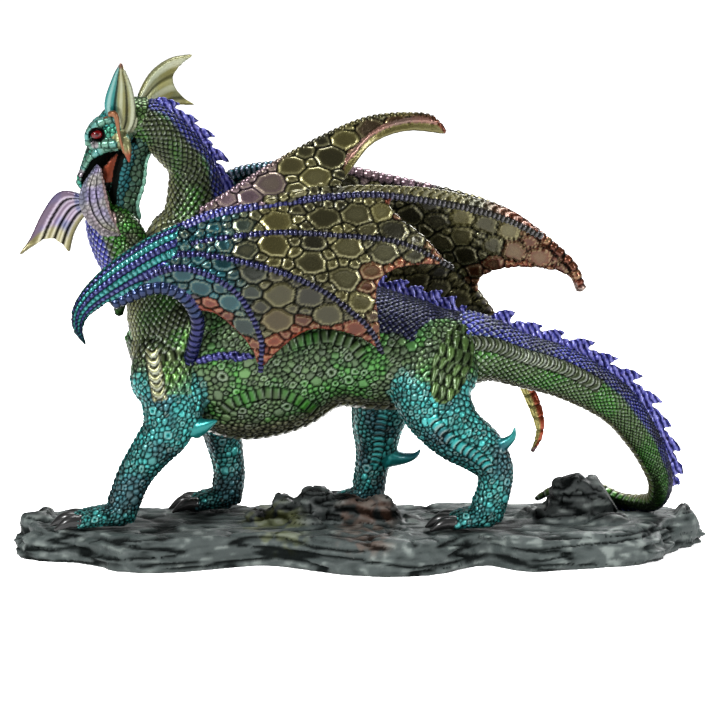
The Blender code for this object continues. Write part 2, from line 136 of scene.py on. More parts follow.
def smoothPath(points, perSpan):
    p = np.array(points, dtype=float)
    ends = np.vstack([2 * p[0] - p[1], p, 2 * p[-1] - p[-2]])
    rows = []
    for i in range(1, len(ends) - 2):
        for step in range(perSpan):
            t = step / perSpan
            a, b, c, d = ends[i - 1], ends[i], ends[i + 1], ends[i + 2]
            rows.append(0.5 * (2 * b + (c - a) * t + (2 * a - 5 * b + 4 * c - d) * t * t
                               + (3 * b - a - 3 * c + d) * t ** 3))
    rows.append(ends[-2])
    return np.array(rows)


def unitRows(rows):
    return rows / np.maximum(np.linalg.norm(rows, axis=-1, keepdims=True), 1e-9)


def smoothStep(value, low, high):
    t = np.clip((value - low) / (high - low), 0, 1)
    return t * t * (3 - 2 * t)


Spot = namedtuple("Spot", "along angle reach radius pace")      # where points lie on a limb


class Limb:
    # a path with an oval section: x, y, z, half width across, half height in its bend
    def __init__(self, stations, way=1, perSpan=4):
        full = [s if len(s) == 5 else (*s, s[3]) for s in stations]
        self.path = smoothPath(full, perSpan)
        self.centre = self.path[:, :3]
        step = np.linalg.norm(np.diff(self.centre, axis=0), axis=1)
        self.run = np.concatenate([[0], np.cumsum(step)])
        self.length = self.run[-1]
        self.tangent = unitRows(np.gradient(self.centre, axis=0))
        self.side = unitRows(np.array([0, 1, 0]) - self.tangent * self.tangent[:, 1:2])
        self.bend = np.cross(self.tangent, self.side) * way
        radius = (self.path[:, 3] + self.path[:, 4]) / 2
        pace = np.concatenate([[0], np.cumsum(step / ((radius[1:] + radius[:-1]) / 2))])
        self.pace = pace           # length measured in local radii, so that scales shrink with the limb

    def at(self, share):
        place = share * self.length
        pick = lambda rows: np.array([np.interp(place, self.run, rows[:, k]) for k in range(rows.shape[1])])
        return pick(self.path), pick(self.tangent), pick(self.side), pick(self.bend)

    def field(self, points):
        # length along, angle from the back, distance in radii, mean radius and pace for every point
        near = np.empty(len(points), dtype=int)
        square = (self.centre ** 2).sum(axis=1)
        for low in range(0, len(points), 20000):
            block = points[low:low + 20000]
            near[low:low + 20000] = (square - 2 * block @ self.centre.T).argmin(axis=1)
        offset = points - self.centre[near]
        ahead = (offset * self.tangent[near]).sum(axis=1)
        along = np.clip(self.run[near] + ahead, 0, self.length)
        ahead = np.clip(ahead, -2, 2)[:, None]
        offset = offset - self.tangent[near] * ahead
        wide = np.interp(along, self.run, self.path[:, 3])
        tall = np.interp(along, self.run, self.path[:, 4])
        across = (offset * self.side[near]).sum(axis=1) / wide
        up = (offset * self.bend[near]).sum(axis=1) / tall
        beyond = (offset * self.tangent[near]).sum(axis=1) / np.minimum(wide, tall)
        reach = np.sqrt(across ** 2 + up ** 2 + beyond ** 2)
        return Spot(along, np.arctan2(across, up), reach, (wide + tall) / 2, np.interp(along, self.run, self.pace))


def beat(along, pitch):
    # share of a step along a row, and distance to its nearer end
    share = (along / pitch) % 1
    return share, np.minimum(share, 1 - share) * pitch


def newObject(name, data):
    made = bpy.data.objects.new(name, data)
    bpy.context.scene.collection.objects.link(made)
    return made


def newPiece(name, bm):
    mesh = bpy.data.meshes.new(name)
    bm.to_mesh(mesh)
    bm.free()
    return newObject(name, mesh)


def hang(piece, nodes=("dragon",)):
    # what the piece rides on and stands in for
    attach(piece, "root")
    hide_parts(*nodes)
    print(piece.name, "finished,", sum(len(p.vertices) - 2 for p in piece.data.polygons), "triangles")


def treeOf(points):
    tree = kdtree.KDTree(len(points))
    for i, point in enumerate(points):
        tree.insert(point, i)
    tree.balance()
    return tree


def addLimb(bm, limb, around=16):
    # a sphere drawn out along the limb's path
    if not isinstance(limb, Limb):
        limb = Limb(limb, perSpan=3)
    rows = len(limb.path)
    new = bmesh.ops.create_uvsphere(bm, u_segments=around, v_segments=rows + 1, radius=1)["verts"]
    for v in new:
        ring = round(math.acos(max(-1, min(1, v.co.z))) / math.pi * (rows + 1))
        i = min(max(ring - 1, 0), rows - 1)
        row = limb.path[i]
        if ring in (0, rows + 1):
            way = -1 if ring == 0 else 1
            v.co = Vector(row[:3] + limb.tangent[i] * way * 0.55 * min(row[3], row[4]))
        else:
            angle = math.atan2(v.co.y, v.co.x)
            v.co = Vector(row[:3] + limb.side[i] * math.cos(angle) * row[3] + limb.bend[i] * math.sin(angle) * row[4])


class Sheet:
    # a membrane between two edges, hollowed at its free end
    def __init__(self, name, edgeA, edgeB, ends=(1, 1), scallop=0.0, starts=(0, 0), across=40, along=110):
        pathA, pathB = (self.even(edge) for edge in (edgeA, edgeB))
        self.name = name
        v = np.linspace(0, 1, across + 1)[None, :]
        i = np.linspace(0, 1, along + 1)[:, None]
        first = starts[0] + (starts[1] - starts[0]) * v
        last = ends[0] + (ends[1] - ends[0]) * v - scallop * np.sin(np.pi * v) ** 0.8
        u = first + (last - first) * i
        a = np.stack([np.interp(u, np.linspace(0, 1, len(pathA)), pathA[:, k]) for k in range(3)], axis=2)
        b = np.stack([np.interp(u, np.linspace(0, 1, len(pathB)), pathB[:, k]) for k in range(3)], axis=2)
        self.grid = a * (1 - v[..., None]) + b * v[..., None]
        self.u = np.broadcast_to(i, u.shape)
        self.v = np.broadcast_to(v, u.shape)
        self.normal = unitRows(np.cross(np.gradient(self.grid, axis=0), np.gradient(self.grid, axis=1)))
        self.fromEnd = self.distance(self.grid[::-1], 0)[::-1]
        self.fromA = self.distance(self.grid, 1)
        self.fromB = self.distance(self.grid[:, ::-1], 1)[:, ::-1]
        self.alongA = self.distance(self.grid, 0)

    def even(self, edge):
        path = smoothPath(edge, 6)[:, :3]
        run = np.concatenate([[0], np.cumsum(np.linalg.norm(np.diff(path, axis=0), axis=1))])
        shares = np.linspace(0, run[-1], 400)
        return np.stack([np.interp(shares, run, path[:, k]) for k in range(3)], axis=1)

    def distance(self, grid, axis):
        step = np.linalg.norm(np.diff(grid, axis=axis), axis=2)
        start = np.zeros((1, step.shape[1])) if axis == 0 else np.zeros((step.shape[0], 1))
        return np.concatenate([start, np.cumsum(step, axis=axis)], axis=axis)


def addSheet(bm, sheet, thickness, stepAlong=4, stepAcross=4):
    grid = (sheet.grid + sheet.normal * thickness / 2)[::stepAlong, ::stepAcross]
    rows, columns = grid.shape[0] - 1, grid.shape[1] - 1
    before = set(bm.faces)
    new = bmesh.ops.create_grid(bm, x_segments=rows, y_segments=columns, size=1)["verts"]
    for v in new:
        i, j = round((v.co.x + 1) / 2 * rows), round((v.co.y + 1) / 2 * columns)
        v.co = Vector(grid[i, j])
    faces = [f for f in bm.faces if f not in before]
    tree = treeOf([v.co for v in new])
    bm.normal_update()
    shell = bmesh.ops.solidify(bm, geom=faces, thickness=thickness)["geom"]
    for v in shell:
        if isinstance(v, bmesh.types.BMVert):  # no spikes where the sheet is folded tightly
            foot = tree.find(v.co)[0]
            if (v.co - foot).length > 1.3 * thickness:
                v.co = foot + (v.co - foot).normalized() * thickness


def fingerLimb(points, thick, thin):
    path = smoothPath(points, 6)[:, :3]
    share = np.linspace(0, 1, len(path))[:, None]
    return Limb(np.hstack([path, thick + (thin - thick) * share, thick + (thin - thick) * share]), perSpan=1)


def fuse(name, bm, grain, smooth):
    # one closed skin from overlapping forms, as evenly spaced points
    bmesh.ops.recalc_face_normals(bm, faces=bm.faces)
    piece = newPiece(name, bm)
    remesh = piece.modifiers.new("fuse", "REMESH")
    remesh.mode = "VOXEL"
    remesh.voxel_size = grain
    soften = piece.modifiers.new("soften", "SMOOTH")
    soften.factor = 0.5
    soften.iterations = smooth
    skin = bpy.data.meshes.new_from_object(piece.evaluated_get(bpy.context.evaluated_depsgraph_get()))
    piece.modifiers.clear()
    piece.data = skin
    skin.name = name
    co = np.empty(len(skin.vertices) * 3)
    skin.vertices.foreach_get("co", co)
    normal = np.empty(len(skin.vertices) * 3)
    skin.vertex_normals.foreach_get("vector", normal)
    print(name, "fused,", len(skin.vertices), "points")
    return piece, co.reshape(-1, 3), normal.reshape(-1, 3)


def finishPiece(piece, co, colour, clear, material, nodes=("dragon",)):
    # writes the carved points in metres and the painted colour, and hangs the piece on the part
    mesh = piece.data
    world = co * unit + np.array([0, 0, soleLevel])
    world[:, 2] = np.maximum(world[:, 2], 0)
    mesh.vertices.foreach_set("co", world.astype(np.float32).ravel())
    layer = mesh.color_attributes.new("paint", "FLOAT_COLOR", "POINT")
    layer.data.foreach_set("color", np.hstack([colour, clear[:, None]]).astype(np.float32).ravel())
    mesh.shade_smooth()
    mesh.materials.clear()
    mesh.materials.append(material)
    mesh.update()
    hang(piece, nodes)


def strewSeeds(points, radius, dice):
    # picks points that stay apart by the mean of their radii, the large ones first
    order = np.argsort(-radius + dice.random(len(points)) * 0.4)
    size = float(radius.max())
    keys = np.floor(points / size).astype(int).tolist()
    places = points.tolist()
    sizes = radius.tolist()
    table = {}
    kept = []
    around = [(a, b, c) for a in (-1, 0, 1) for b in (-1, 0, 1) for c in (-1, 0, 1)]
    for i in order.tolist():
        x, y, z = places[i]
        kx, ky, kz = keys[i]
        mine = sizes[i]
        free = True
        for a, b, c in around:
            for ox, oy, oz, other in table.get((kx + a, ky + b, kz + c), ()):
                if (x - ox) ** 2 + (y - oy) ** 2 + (z - oz) ** 2 < (0.5 * (mine + other)) ** 2:
                    free = False
                    break
            if not free:
                break
        if free:
            kept.append(i)
            table.setdefault((kx, ky, kz), []).append((x, y, z, mine))
    return np.array(kept)


def cellField(points, seeds, radius, neighbours=5):
    # cell number, distance to the groove round it and distance to its middle
    find = treeOf(seeds.tolist()).find_n
    near = np.array([[hit[1] for hit in find(p, neighbours)] for p in points.tolist()])
    away = np.linalg.norm(points[:, None, :] - seeds[near], axis=2)
    weighed = away - 0.5 * radius[near]
    order = np.argsort(weighed, axis=1)
    rows = np.arange(len(points))
    first, second = order[:, 0], order[:, 1]
    gap = (weighed[rows, second] - weighed[rows, first]) / 2
    return near[rows, first], gap, away[rows, first]


def scaleField(row, column, width, reach=1.7, sharp=1.6, wrap=0):
    # pointed scales in offset rows, each over the next: height, distance to an outline, tip share, number
    rank = np.floor(row)
    found = []
    for back in (0, 1):
        number = rank - back
        along = (row - number) / reach
        place = column - 0.5 * (number % 2)
        left = np.floor(place)
        across = np.abs((place - left) * 2 - 1)
        half = 1 - np.clip((along - 0.45) / 0.55, 0, 1) ** sharp
        if wrap:
            left = left % wrap
        found.append((along, across, half, number * 131 + left))
    under, over = found
    covered = (over[0] < 1) & (over[1] < over[2])
    along = np.where(covered, over[0], under[0])
    across = np.where(covered, over[1], under[1])
    overGap = over[2] - over[1]
    underGap = np.minimum(np.where(over[0] < 1.15, over[1] - over[2], 1.0), np.abs(under[2] - under[1]))
    gap = np.where(covered, overGap, underGap) * width / 2
    height = (0.3 + 0.7 * along) * (1 - 0.35 * across ** 2)
    return height, gap, along, np.where(covered, over[3], under[3])


def plateField(along, across, pitch, half, bow=0.3):
    # a row of curved plates: distance to an outline, share of the plate's length, number
    place = (along + bow * pitch * (across / half) ** 2) / pitch
    number = np.floor(place)
    share = place - number
    gap = np.minimum(np.minimum(share, 1 - share) * pitch, half - np.abs(across))
    return gap, share, number


def numberShade(number, spread, seed=0):
    # an even random brightness for every cell or scale
    value = np.sin((number + seed) * 12.9898) * 43758.5453
    return 1 + spread * (2 * (value - np.floor(value)) - 1)


def mixRows(low, high, share):
    share = np.asarray(share, dtype=float).reshape(-1, 1)
    return low * (1 - share) + high * share


def noiseAt(points, scale, seed=0.0):
    base = noise.noise
    return np.array([base((x * scale + seed, y * scale, z * scale)) for x, y, z in points.tolist()])


def brush(colour, gap, width, strength):
    # dark wash in the groove, full paint on the raised part
    clear = smoothStep(gap, width * 0.25, width)
    return mixRows(colours["wash"], colour, 1 - strength * (1 - clear)), clear


def lighten(colour, share, target=(0.85, 0.88, 0.82)):
    return mixRows(colour, np.array(target), np.clip(share, 0, 1))


class Carving:
    # height, paint and clearness of wash while patterns are laid over each other
    def __init__(self, height, tone, clear):
        self.height, self.tone, self.clear = height, tone, clear

    def lay(self, mask, height, tone, clear):
        self.height = np.where(mask, height, self.height)
        self.tone = np.where(mask[:, None], tone, self.tone)
        self.clear = np.where(mask, clear, self.clear)

    def scales(self, mask, row, column, width, colour, reach=1.75, sharp=1.5, lift=1.5, wrap=0, rim=0.45,
               groove=(0.6, 0.95), uneven=0.2, tip=0.55):
        height, gap, share, number = scaleField(row, column, width, reach, sharp, wrap)
        tone, clear = brush(colour * numberShade(number, uneven)[:, None], gap, *groove)
        tone = lighten(tone, rim * smoothStep(share, tip, 1.0) * clear)
        self.lay(mask, lift * height * (0.35 + 0.65 * clear), tone, clear)

    def plates(self, mask, along, across, pitch, half, bow, colour, lift=1.3, rim=0.3, groove=(0.95, 0.96),
               uneven=0.2):
        gap, share, number = plateField(along, across, pitch, half, bow)
        tone, clear = brush(colour * numberShade(number, uneven)[:, None], gap, *groove)
        tone = lighten(tone, rim * smoothStep(share, 0.55, 0.95) * clear)
        inside = mask & (gap > -0.05) & (np.abs(across) < half)
        self.lay(inside, lift * (1 - (1 - np.clip(gap, 0, 1)) ** 2), tone, clear)

    def cells(self, points, base, size, dice, deep=0.6, dome=0.8):
        seeds = strewSeeds(points, size, dice)
        cell, gap, _ = cellField(points, points[seeds], size[seeds])
        tone, clear = brush(base[seeds][cell] * numberShade(cell, 0.25)[:, None], gap, deep, 0.95)
        self.lay(np.ones(len(points), bool), 1 - (1 - np.clip(gap / dome, 0, 1)) ** 2, tone, clear)


def blank(count):
    return Carving(np.zeros(count), np.zeros((count, 3)), np.zeros(count))


def bandField(x, z, line):
    # length along and signed distance from a line drawn on the side of the body
    line = np.array(line, dtype=float)
    best = np.full(len(x), 1e9)
    along = np.zeros(len(x))
    across = np.zeros(len(x))
    start = 0.0
    for (ax, az), (bx, bz) in zip(line[:-1], line[1:]):
        length = math.hypot(bx - ax, bz - az)
        dx, dz = (bx - ax) / length, (bz - az) / length
        t = np.clip((x - ax) * dx + (z - az) * dz, 0, length)
        offX, offZ = x - ax - t * dx, z - az - t * dz
        away = np.hypot(offX, offZ)
        near = away < best
        best = np.where(near, away, best)
        along = np.where(near, start + t, along)
        across = np.where(near, np.sign(offX * dz - offZ * dx) * away, across)
        start += length
    return along, across, start


def sheetField(points, sheets):
    # nearest membrane, and where on it every point lies
    starts = []
    rows = []
    for sheet in sheets:
        starts.append(sum(len(r) for r in rows))
        rows.append(sheet.grid.reshape(-1, 3))
    tree = treeOf(np.vstack(rows).tolist())
    near = np.array([tree.find(p)[1] for p in points.tolist()])
    which = np.searchsorted(np.array(starts), near, side="right") - 1
    names = ("u", "v", "fromEnd", "fromA", "fromB", "alongA")
    found = {name: np.zeros(len(points)) for name in names}
    found["which"] = which
    found["flat"] = points.copy()
    found["away"] = np.zeros(len(points))
    for k, sheet in enumerate(sheets):
        mine = which == k
        local = near[mine] - starts[k]
        width = sheet.grid.shape[1]
        i, j = local // width, local % width
        offset = points[mine] - sheet.grid[i, j]
        ahead = np.gradient(sheet.grid, axis=0)[i, j]
        across = np.gradient(sheet.grid, axis=1)[i, j]
        shift = lambda way: (offset * way).sum(1) / np.maximum((way ** 2).sum(1), 1e-6)
        i2 = np.clip(i + shift(ahead), 0, sheet.grid.shape[0] - 1.001)
        j2 = np.clip(j + shift(across), 0, width - 1.001)
        a, b = np.floor(i2).astype(int), np.floor(j2).astype(int)
        fa, fb = i2 - a, j2 - b
        between = lambda grid, fa, fb: ((grid[a, b] * (1 - fa) + grid[a + 1, b] * fa) * (1 - fb)
                                        + (grid[a, b + 1] * (1 - fa) + grid[a + 1, b + 1] * fa) * fb)
        for name in names:
            found[name][mine] = between(getattr(sheet, name), fa, fb)
        flat = between(sheet.grid, fa[:, None], fb[:, None])
        found["flat"][mine] = flat
        found["away"][mine] = np.linalg.norm(points[mine] - flat, axis=1)
    return found


paints = {
    "hide": pearlPaint("hidePaint", {"coat": 0.2, "metal": 0.55, "rough": 0.32, "bump": 0.25, "blotch": 90.0,
                                     "grain": 1500.0, "tint": (0.55, 0.75, 0.6)}),
    "wing": pearlPaint("wingPaint", {"coat": 0.25, "metal": 0.7, "rough": 0.24, "bump": 0.15, "blotch": 120.0,
                                     "grain": 1300.0, "tint": (0.7, 0.68, 0.45)}),
    "crest": pearlPaint("crestPaint", {"coat": 0.25, "metal": 0.5, "rough": 0.34, "bump": 0.25, "blotch": 150.0,
                                       "grain": 1600.0, "tint": (0.6, 0.55, 0.9)}),
    "claw": pearlPaint("clawEnamel", {"coat": 0.25, "metal": 0.0, "rough": 0.34, "bump": 0.05, "blotch": 150.0,
                                      "grain": 900.0, "tint": (0.7, 0.7, 0.7)}),
    "eye": pearlPaint("eyeEnamel", {"coat": 0.08, "metal": 0.0, "rough": 0.1, "bump": 0.0, "blotch": 150.0,
                                    "grain": 900.0, "tint": (0.7, 0.3, 0.3)}),
    "rock": pearlPaint("rockPaint", {"coat": 0.0, "metal": 0.0, "rough": 0.55, "bump": 0.6, "blotch": 60.0,
                                     "grain": 1100.0, "tint": (0.62, 0.70, 0.68)})}


hide = {
    "grain": 0.69, "smooth": 3, "split": -18,
    "torso": [(-99, 0, 80, 8, 9), (-93, 0, 79, 16, 19), (-80, 0, 77, 22, 31), (-55, 0, 77, 26, 41),
              (-31, 0, 78, 26, 38.5), (-12, 0, 79, 23, 30), (0, 0, 77.5, 22, 27.5), (13, 0, 75, 22, 26),
              (32, 0, 74, 20, 22), (47, 0, 76, 14, 16), (58, 0, 75, 10, 12)],
    "neck": [(-75, 0, 80, 21, 27), (-81, 0, 98, 19, 21), (-77, 0, 117, 16, 19), (-71, 0, 132, 13, 16.5),
             (-72, -1, 146, 10.5, 12), (-74, -2, 157, 9.5, 10), (-80, -3, 165, 9.5, 10), (-87, -4, 172, 10, 10),
             (-95, -5, 177, 10, 10)],
    "nearFront": [(-80, -12, 78, 10, 16), (-82, -15, 66, 11, 18), (-81, -19, 55, 10, 14), (-84, -21, 43, 8.6, 10.9),
                  (-91, -21, 33.5, 7.6, 8.7), (-98, -20, 23, 6.8, 7.4), (-102, -20, 13, 6.6, 7), (-105, -20, 5, 7, 7)],
    "farFront": [(-66, 12, 70, 10, 15), (-62, 14, 53, 10, 14), (-61, 18, 36.5, 8, 8.8), (-59, 20, 25, 7, 7.2),
                 (-58, 20, 16, 6.6, 6.8), (-60, 20, 5, 7, 7.2)],
    "nearHind": [(28, -11, 78, 10, 20), (31, -14, 66, 11, 20), (33, -18, 54, 10.5, 16), (41, -21, 43, 9.5, 12.7),
                 (52, -22, 35, 8.4, 10.5), (58, -23, 27, 7.4, 8.1), (58, -23, 18, 6.8, 7.2), (54, -23, 6, 7.2, 7.8)],
    "farHind": [(20, 12, 72, 10, 17), (12, 14, 56, 10.5, 15), (8, 18, 41, 9, 11.8), (7, 21, 29, 8, 9.2),
                (5, 22, 19, 7, 7.2), (3, 22, 6, 7.2, 7.4)],
    "spurs": [[(-72, -21, 44, 5), (-67, -24, 46, 3), (-62, -26, 48.5, 0.6)],
              [(55, -23, 36, 5.5), (61, -25, 37.5, 3.2), (65.6, -27, 41.5, 1.7), (66.4, -27.6, 46, 0.5)],
              [(12, 20, 24, 5), (19, 21, 23.4, 2.9), (24, 21, 24.6, 1.6), (26.6, 21, 27.6, 0.5)],
              [(-54, 19, 38, 4.5), (-48, 21, 40, 2.6), (-43, 22, 42, 0.6)]],
    "feet": [(-105, -20, 21, 5.2), (-61, 20, 15, 5.0), (54, -23, 17, 5.2), (3, 22, 15, 5.0)],
    "ribRows": [[(-46, 73), (-39.7, 78.2), (-26.6, 83), (-13.5, 84.8), (-3.9, 81.3), (1.8, 74.7)],
                [(-60, 51), (-56.3, 55.2), (-48.4, 58.3), (-41.4, 60.1), (-34, 59.6), (-26.6, 56.1), (-19, 50)]],
    "ribPitch": 3.5, "ribHalf": 3.0, "shins": [(2, -1.85, 2.9, 30, 62), (3, -1.5, 2.6, 26, 54)],
    "hips": [(39, -1), (24, 1)],
    "chestRow": [(-91.5, 88), (-90, 78), (-88.4, 67), (-86.4, 57)],
    "cellSizes": (1.95, 2.9, 4.4), "neckCount": 24, "backCount": 58, "relief": 0.6, "seed": 11}


def toeSpots(x, y, reach, splay):
    # root, sideways offset and length of the three toes of a foot
    for k in (-1, 0, 1):
        yield x, y, k * splay, reach * (1 - 0.12 * abs(k))


def cutAt(piece, x, keepLow, name):
    # one half of a piece, closed again at the cut
    bm = bmesh.new()
    bm.from_mesh(piece.data)
    bmesh.ops.bisect_plane(bm, geom=bm.verts[:] + bm.edges[:] + bm.faces[:], plane_co=(x, 0, 0),
                           plane_no=(1, 0, 0), clear_outer=keepLow, clear_inner=not keepLow)
    bmesh.ops.holes_fill(bm, edges=[e for e in bm.edges if e.is_boundary], sides=0)
    mesh = piece.data.copy()
    bm.to_mesh(mesh)
    bm.free()
    mesh.name = name
    hang(newObject(name, mesh))


def buildHide():
    dice = np.random.default_rng(hide["seed"])
    bm = bmesh.new()
    limbs = {name: Limb(hide[name], way=-1 if name == "neck" else 1)
             for name in ("torso", "neck", "nearFront", "farFront", "nearHind", "farHind")}
    for name, limb in limbs.items():
        addLimb(bm, limb, around=32 if name in ("torso", "neck") else 20)
    spurs = [Limb(s, perSpan=3) for s in hide["spurs"]]
    for spur in spurs:
        addLimb(bm, spur, around=12)
    for foot in hide["feet"]:
        for fx, fy, out, toe in toeSpots(*foot):
            addLimb(bm, [(fx + 2, fy + 0.3 * out, 6, 5.4), (fx - 0.55 * toe, fy + 0.8 * out, 5, 4.2),
                         (fx - toe, fy + 1.35 * out, 3.4, 3.2)], around=14)
    piece, co, normal = fuse("hide", bm, hide["grain"], hide["smooth"])
    n = len(co)
    x, y, z = co.T
    torso, neck = limbs["torso"].field(co), limbs["neck"].field(co)
    legs = [limbs[name].field(co) for name in ("nearFront", "farFront", "nearHind", "farHind")]
    legReach = np.stack([leg.reach for leg in legs])
    leg, legNear = legReach.argmin(axis=0), legReach.min(axis=0)
    legAlong, legAngle, legRadius = (np.choose(leg, [getattr(one, k) for one in legs])
                                     for k in ("along", "angle", "radius"))
    spurNear = np.min([s.field(co).reach for s in spurs], axis=0)
    drift = noiseAt(co, 0.09)
    body = np.minimum(torso.reach, neck.reach)
    onLeg = smoothStep(body - legNear, -0.12, 0.06)
    onLeg = np.maximum(onLeg, smoothStep(z, 36, 33))
    teal = onLeg * smoothStep(z + 5 * drift, 71, 62)
    teal = np.maximum(teal, smoothStep(1.15 - spurNear, 0, 0.1))

    # colours before the wash
    base = mixRows(colours["moss"], colours["green"], smoothStep(drift, -0.1, 0.35))
    ventral = smoothStep(np.abs(torso.angle), 2.35, 2.6) * (1 - onLeg)
    base = mixRows(base, colours["scute"], ventral)
    backHalf = 0.6 + 0.55 * smoothStep(x, -12, 12)
    back = smoothStep(np.abs(torso.angle) - backHalf, 0.1, -0.1) * (1 - onLeg)
    base = mixRows(base, colours["deepBlue"], back)
    tealMix = mixRows(colours["teal"], colours["deepTeal"],
                      smoothStep(drift + (40 - z) * 0.006, -0.2, 0.5))
    base = mixRows(base, tealMix, teal)

    # pebbles, some of them rings round a pit
    small, medium, large = hide["cellSizes"]
    lot = dice.random(n)
    size = np.where(lot < 0.0018, large, np.where(lot < 0.02, medium, small))
    size = size * (1 - 0.14 * teal) * (1 - 0.18 * smoothStep(z, 14, 8))
    seeds = strewSeeds(co, size, dice)
    cell, gap, deep = cellField(co, co[seeds], size[seeds])
    print("pebbles", len(seeds))
    span = deep + gap
    ring = numberShade(cell, 0.5, 3) < np.where(size[seeds][cell] > small * 1.2, 1.05, 0.68)
    middle = deep / np.maximum(span, 0.3)
    height = 1 - (1 - np.clip(gap / 0.9, 0, 1)) ** 2
    height = np.where(ring, height * smoothStep(middle, 0.12, 0.6), height)
    paint = base[seeds][cell] * numberShade(cell, 0.45)[:, None] * 0.92
    pit = np.where(ring, smoothStep(middle, 0.22, 0.46), 1.0)
    tone, clear = brush(paint, gap, 0.62, 0.97)
    tone = mixRows(colours["wash"], tone, pit)
    clear = clear * pit
    # the pale ring rims and pebble tops are a painted highlight
    shine = np.where(ring, smoothStep(middle, 0.45, 0.6) * smoothStep(middle, 0.9, 0.7), 0.25) * clear
    carve = Carving(height, lighten(tone, 0.1 * shine), clear)

    # shin plates, plates down the front of the legs, rib rows and belly scutes; the chest's plates come after the neck
    for number, centre, half, low, high in hide["shins"]:
        for side in (1, -1):
            across = (legAngle - side * centre) * legRadius
            carve.plates((leg == number) & (teal > 0.5) & (legAlong > low) & (legAlong < high), legAlong, across,
                         2.9, half, -0.35, tealMix * 0.8)
    frontEdge = (math.pi - np.abs(legAngle)) * legRadius
    carve.plates((teal > 0.5) & (z > 12), legAlong, frontEdge, 2.6, 2.2, -0.8, tealMix, lift=1.9)
    for line in hide["ribRows"]:
        along, across, total = bandField(x, z, line)
        carve.plates((np.abs(y) > 8) & (along > 0.5) & (along < total - 0.5) & (onLeg < 0.5), along, across,
                     hide["ribPitch"], hide["ribHalf"], 0.0, base * 0.7, rim=0.08)
    belly = (math.pi - np.abs(torso.angle)) * torso.radius
    carve.plates((ventral > 0.4) & (torso.along > 14), torso.along, belly * 0.9, 4.2, 11, -0.5, base, lift=1.5)

    # leafy scales beside the chest and on the hips, and small ones along the back
    scaly = {"groove": (0.75, 0.96), "tip": 0.6}
    carve.scales((np.abs(y) > 4) & (x > -85.5) & (x < -73) & (z > 60) & (z < 92) & (neck.reach > 0.8),
                 -z / 3.4 + 0.4 * noiseAt(co, 0.18, 3.0), x / 3.2 + 0.5 * noiseAt(co, 0.15, 4.0), 3.2,
                 mixRows(base, colours["hip"], 0.7), 2.6, 1.0, 2.4, uneven=0.35, rim=0.4, **scaly)
    for middleX, way in hide["hips"]:
        patch = ((x - middleX - (z - 72) * 0.25) / 8.6) ** 2 + ((z - 72) / 16) ** 2 < 1
        downRow = (-(x - middleX) * 0.30 - z * 0.95) / 5.4 + 0.35 * noiseAt(co, 0.10, 7.0)
        acrossRow = ((x - middleX) * 0.95 - z * 0.30) / 3.4 + 0.4 * noiseAt(co, 0.10, 9.0)
        carve.scales(patch & (way * y > 6), downRow, acrossRow, 3.4, colours["hip"] * 0.55,
                     3.2, 0.8, 4.2, uneven=0.45, rim=0.7, **scaly)
    backCount = hide["backCount"]
    carve.scales((np.abs(torso.angle) < backHalf + 0.2 * drift) & (x > -30) & (onLeg < 0.5),
                 torso.pace * backCount / (2 * math.pi) / 0.66, torso.angle / (2 * math.pi) * backCount,
                 2 * math.pi * torso.radius / backCount, colours["deepBlue"], 1.8, 1.3, 1.7, backCount, 0.5, **scaly)

    # the neck: blue at its crest, green at its sides, broad plates at its throat
    aside = np.abs(neck.angle)
    neckBase = mixRows(colours["neck"], colours["green"], 0.5 * smoothStep(drift, -0.1, 0.4))
    neckBase = mixRows(neckBase, colours["blue"], smoothStep(aside + 0.25 * drift, 0.95, 0.7))
    neckBase = mixRows(neckBase, colours["cream"] * 0.8, 0.75 * smoothStep(aside, 2.2, 2.7))
    count = hide["neckCount"]
    onNeck = (neck.reach < torso.reach + 0.08) & (z > 74) & (legNear > 0.9)
    width = 2 * math.pi * neck.radius / count
    for low, high, fold in ((0, 108, 2), (108, 999, 1)):
        carve.scales(onNeck & (z >= low) & (z < high), -neck.pace * count * fold / (2 * math.pi) / 0.66,
                     neck.angle / (2 * math.pi) * count * fold, width / fold, neckBase, 1.8, 1.4, 1.9,
                     count * fold, 0.5, **scaly)
    throat = (math.pi - aside) * neck.radius
    carve.plates(onNeck & (neck.along > 50), neck.along, throat, 3.4, 3.4, 0.0, colours["olive"], 1.2, 0.15)

    along, across, total = bandField(x, z, hide["chestRow"])
    carve.plates((y < 6) & (x < -80) & (along > 0.3 * total) & (along < total - 0.3), along, across, 3.4, 3.5,
                 1.2, colours["cream"] * 0.5, 2.2, 0.4)

    # spurs stay smooth
    onSpur = (spurNear < 1.12) & (spurNear < legNear)
    carve.lay(onSpur, 0.5, tealMix * 0.6, 0.9)

    height = carve.height * np.where(z < 3, smoothStep(z, 0.2, 3), 1)
    co = co + normal * (height * hide["relief"] - 0.35)[:, None]
    co[:, 2] = np.maximum(co[:, 2], 0)
    finishPiece(piece, co, carve.tone, carve.clear, paints["hide"])
    cutAt(piece, hide["split"] * unit, True, "frontHide")
    cutAt(piece, hide["split"] * unit, False, "rearHide")
    bpy.data.objects.remove(piece)


buildHide()


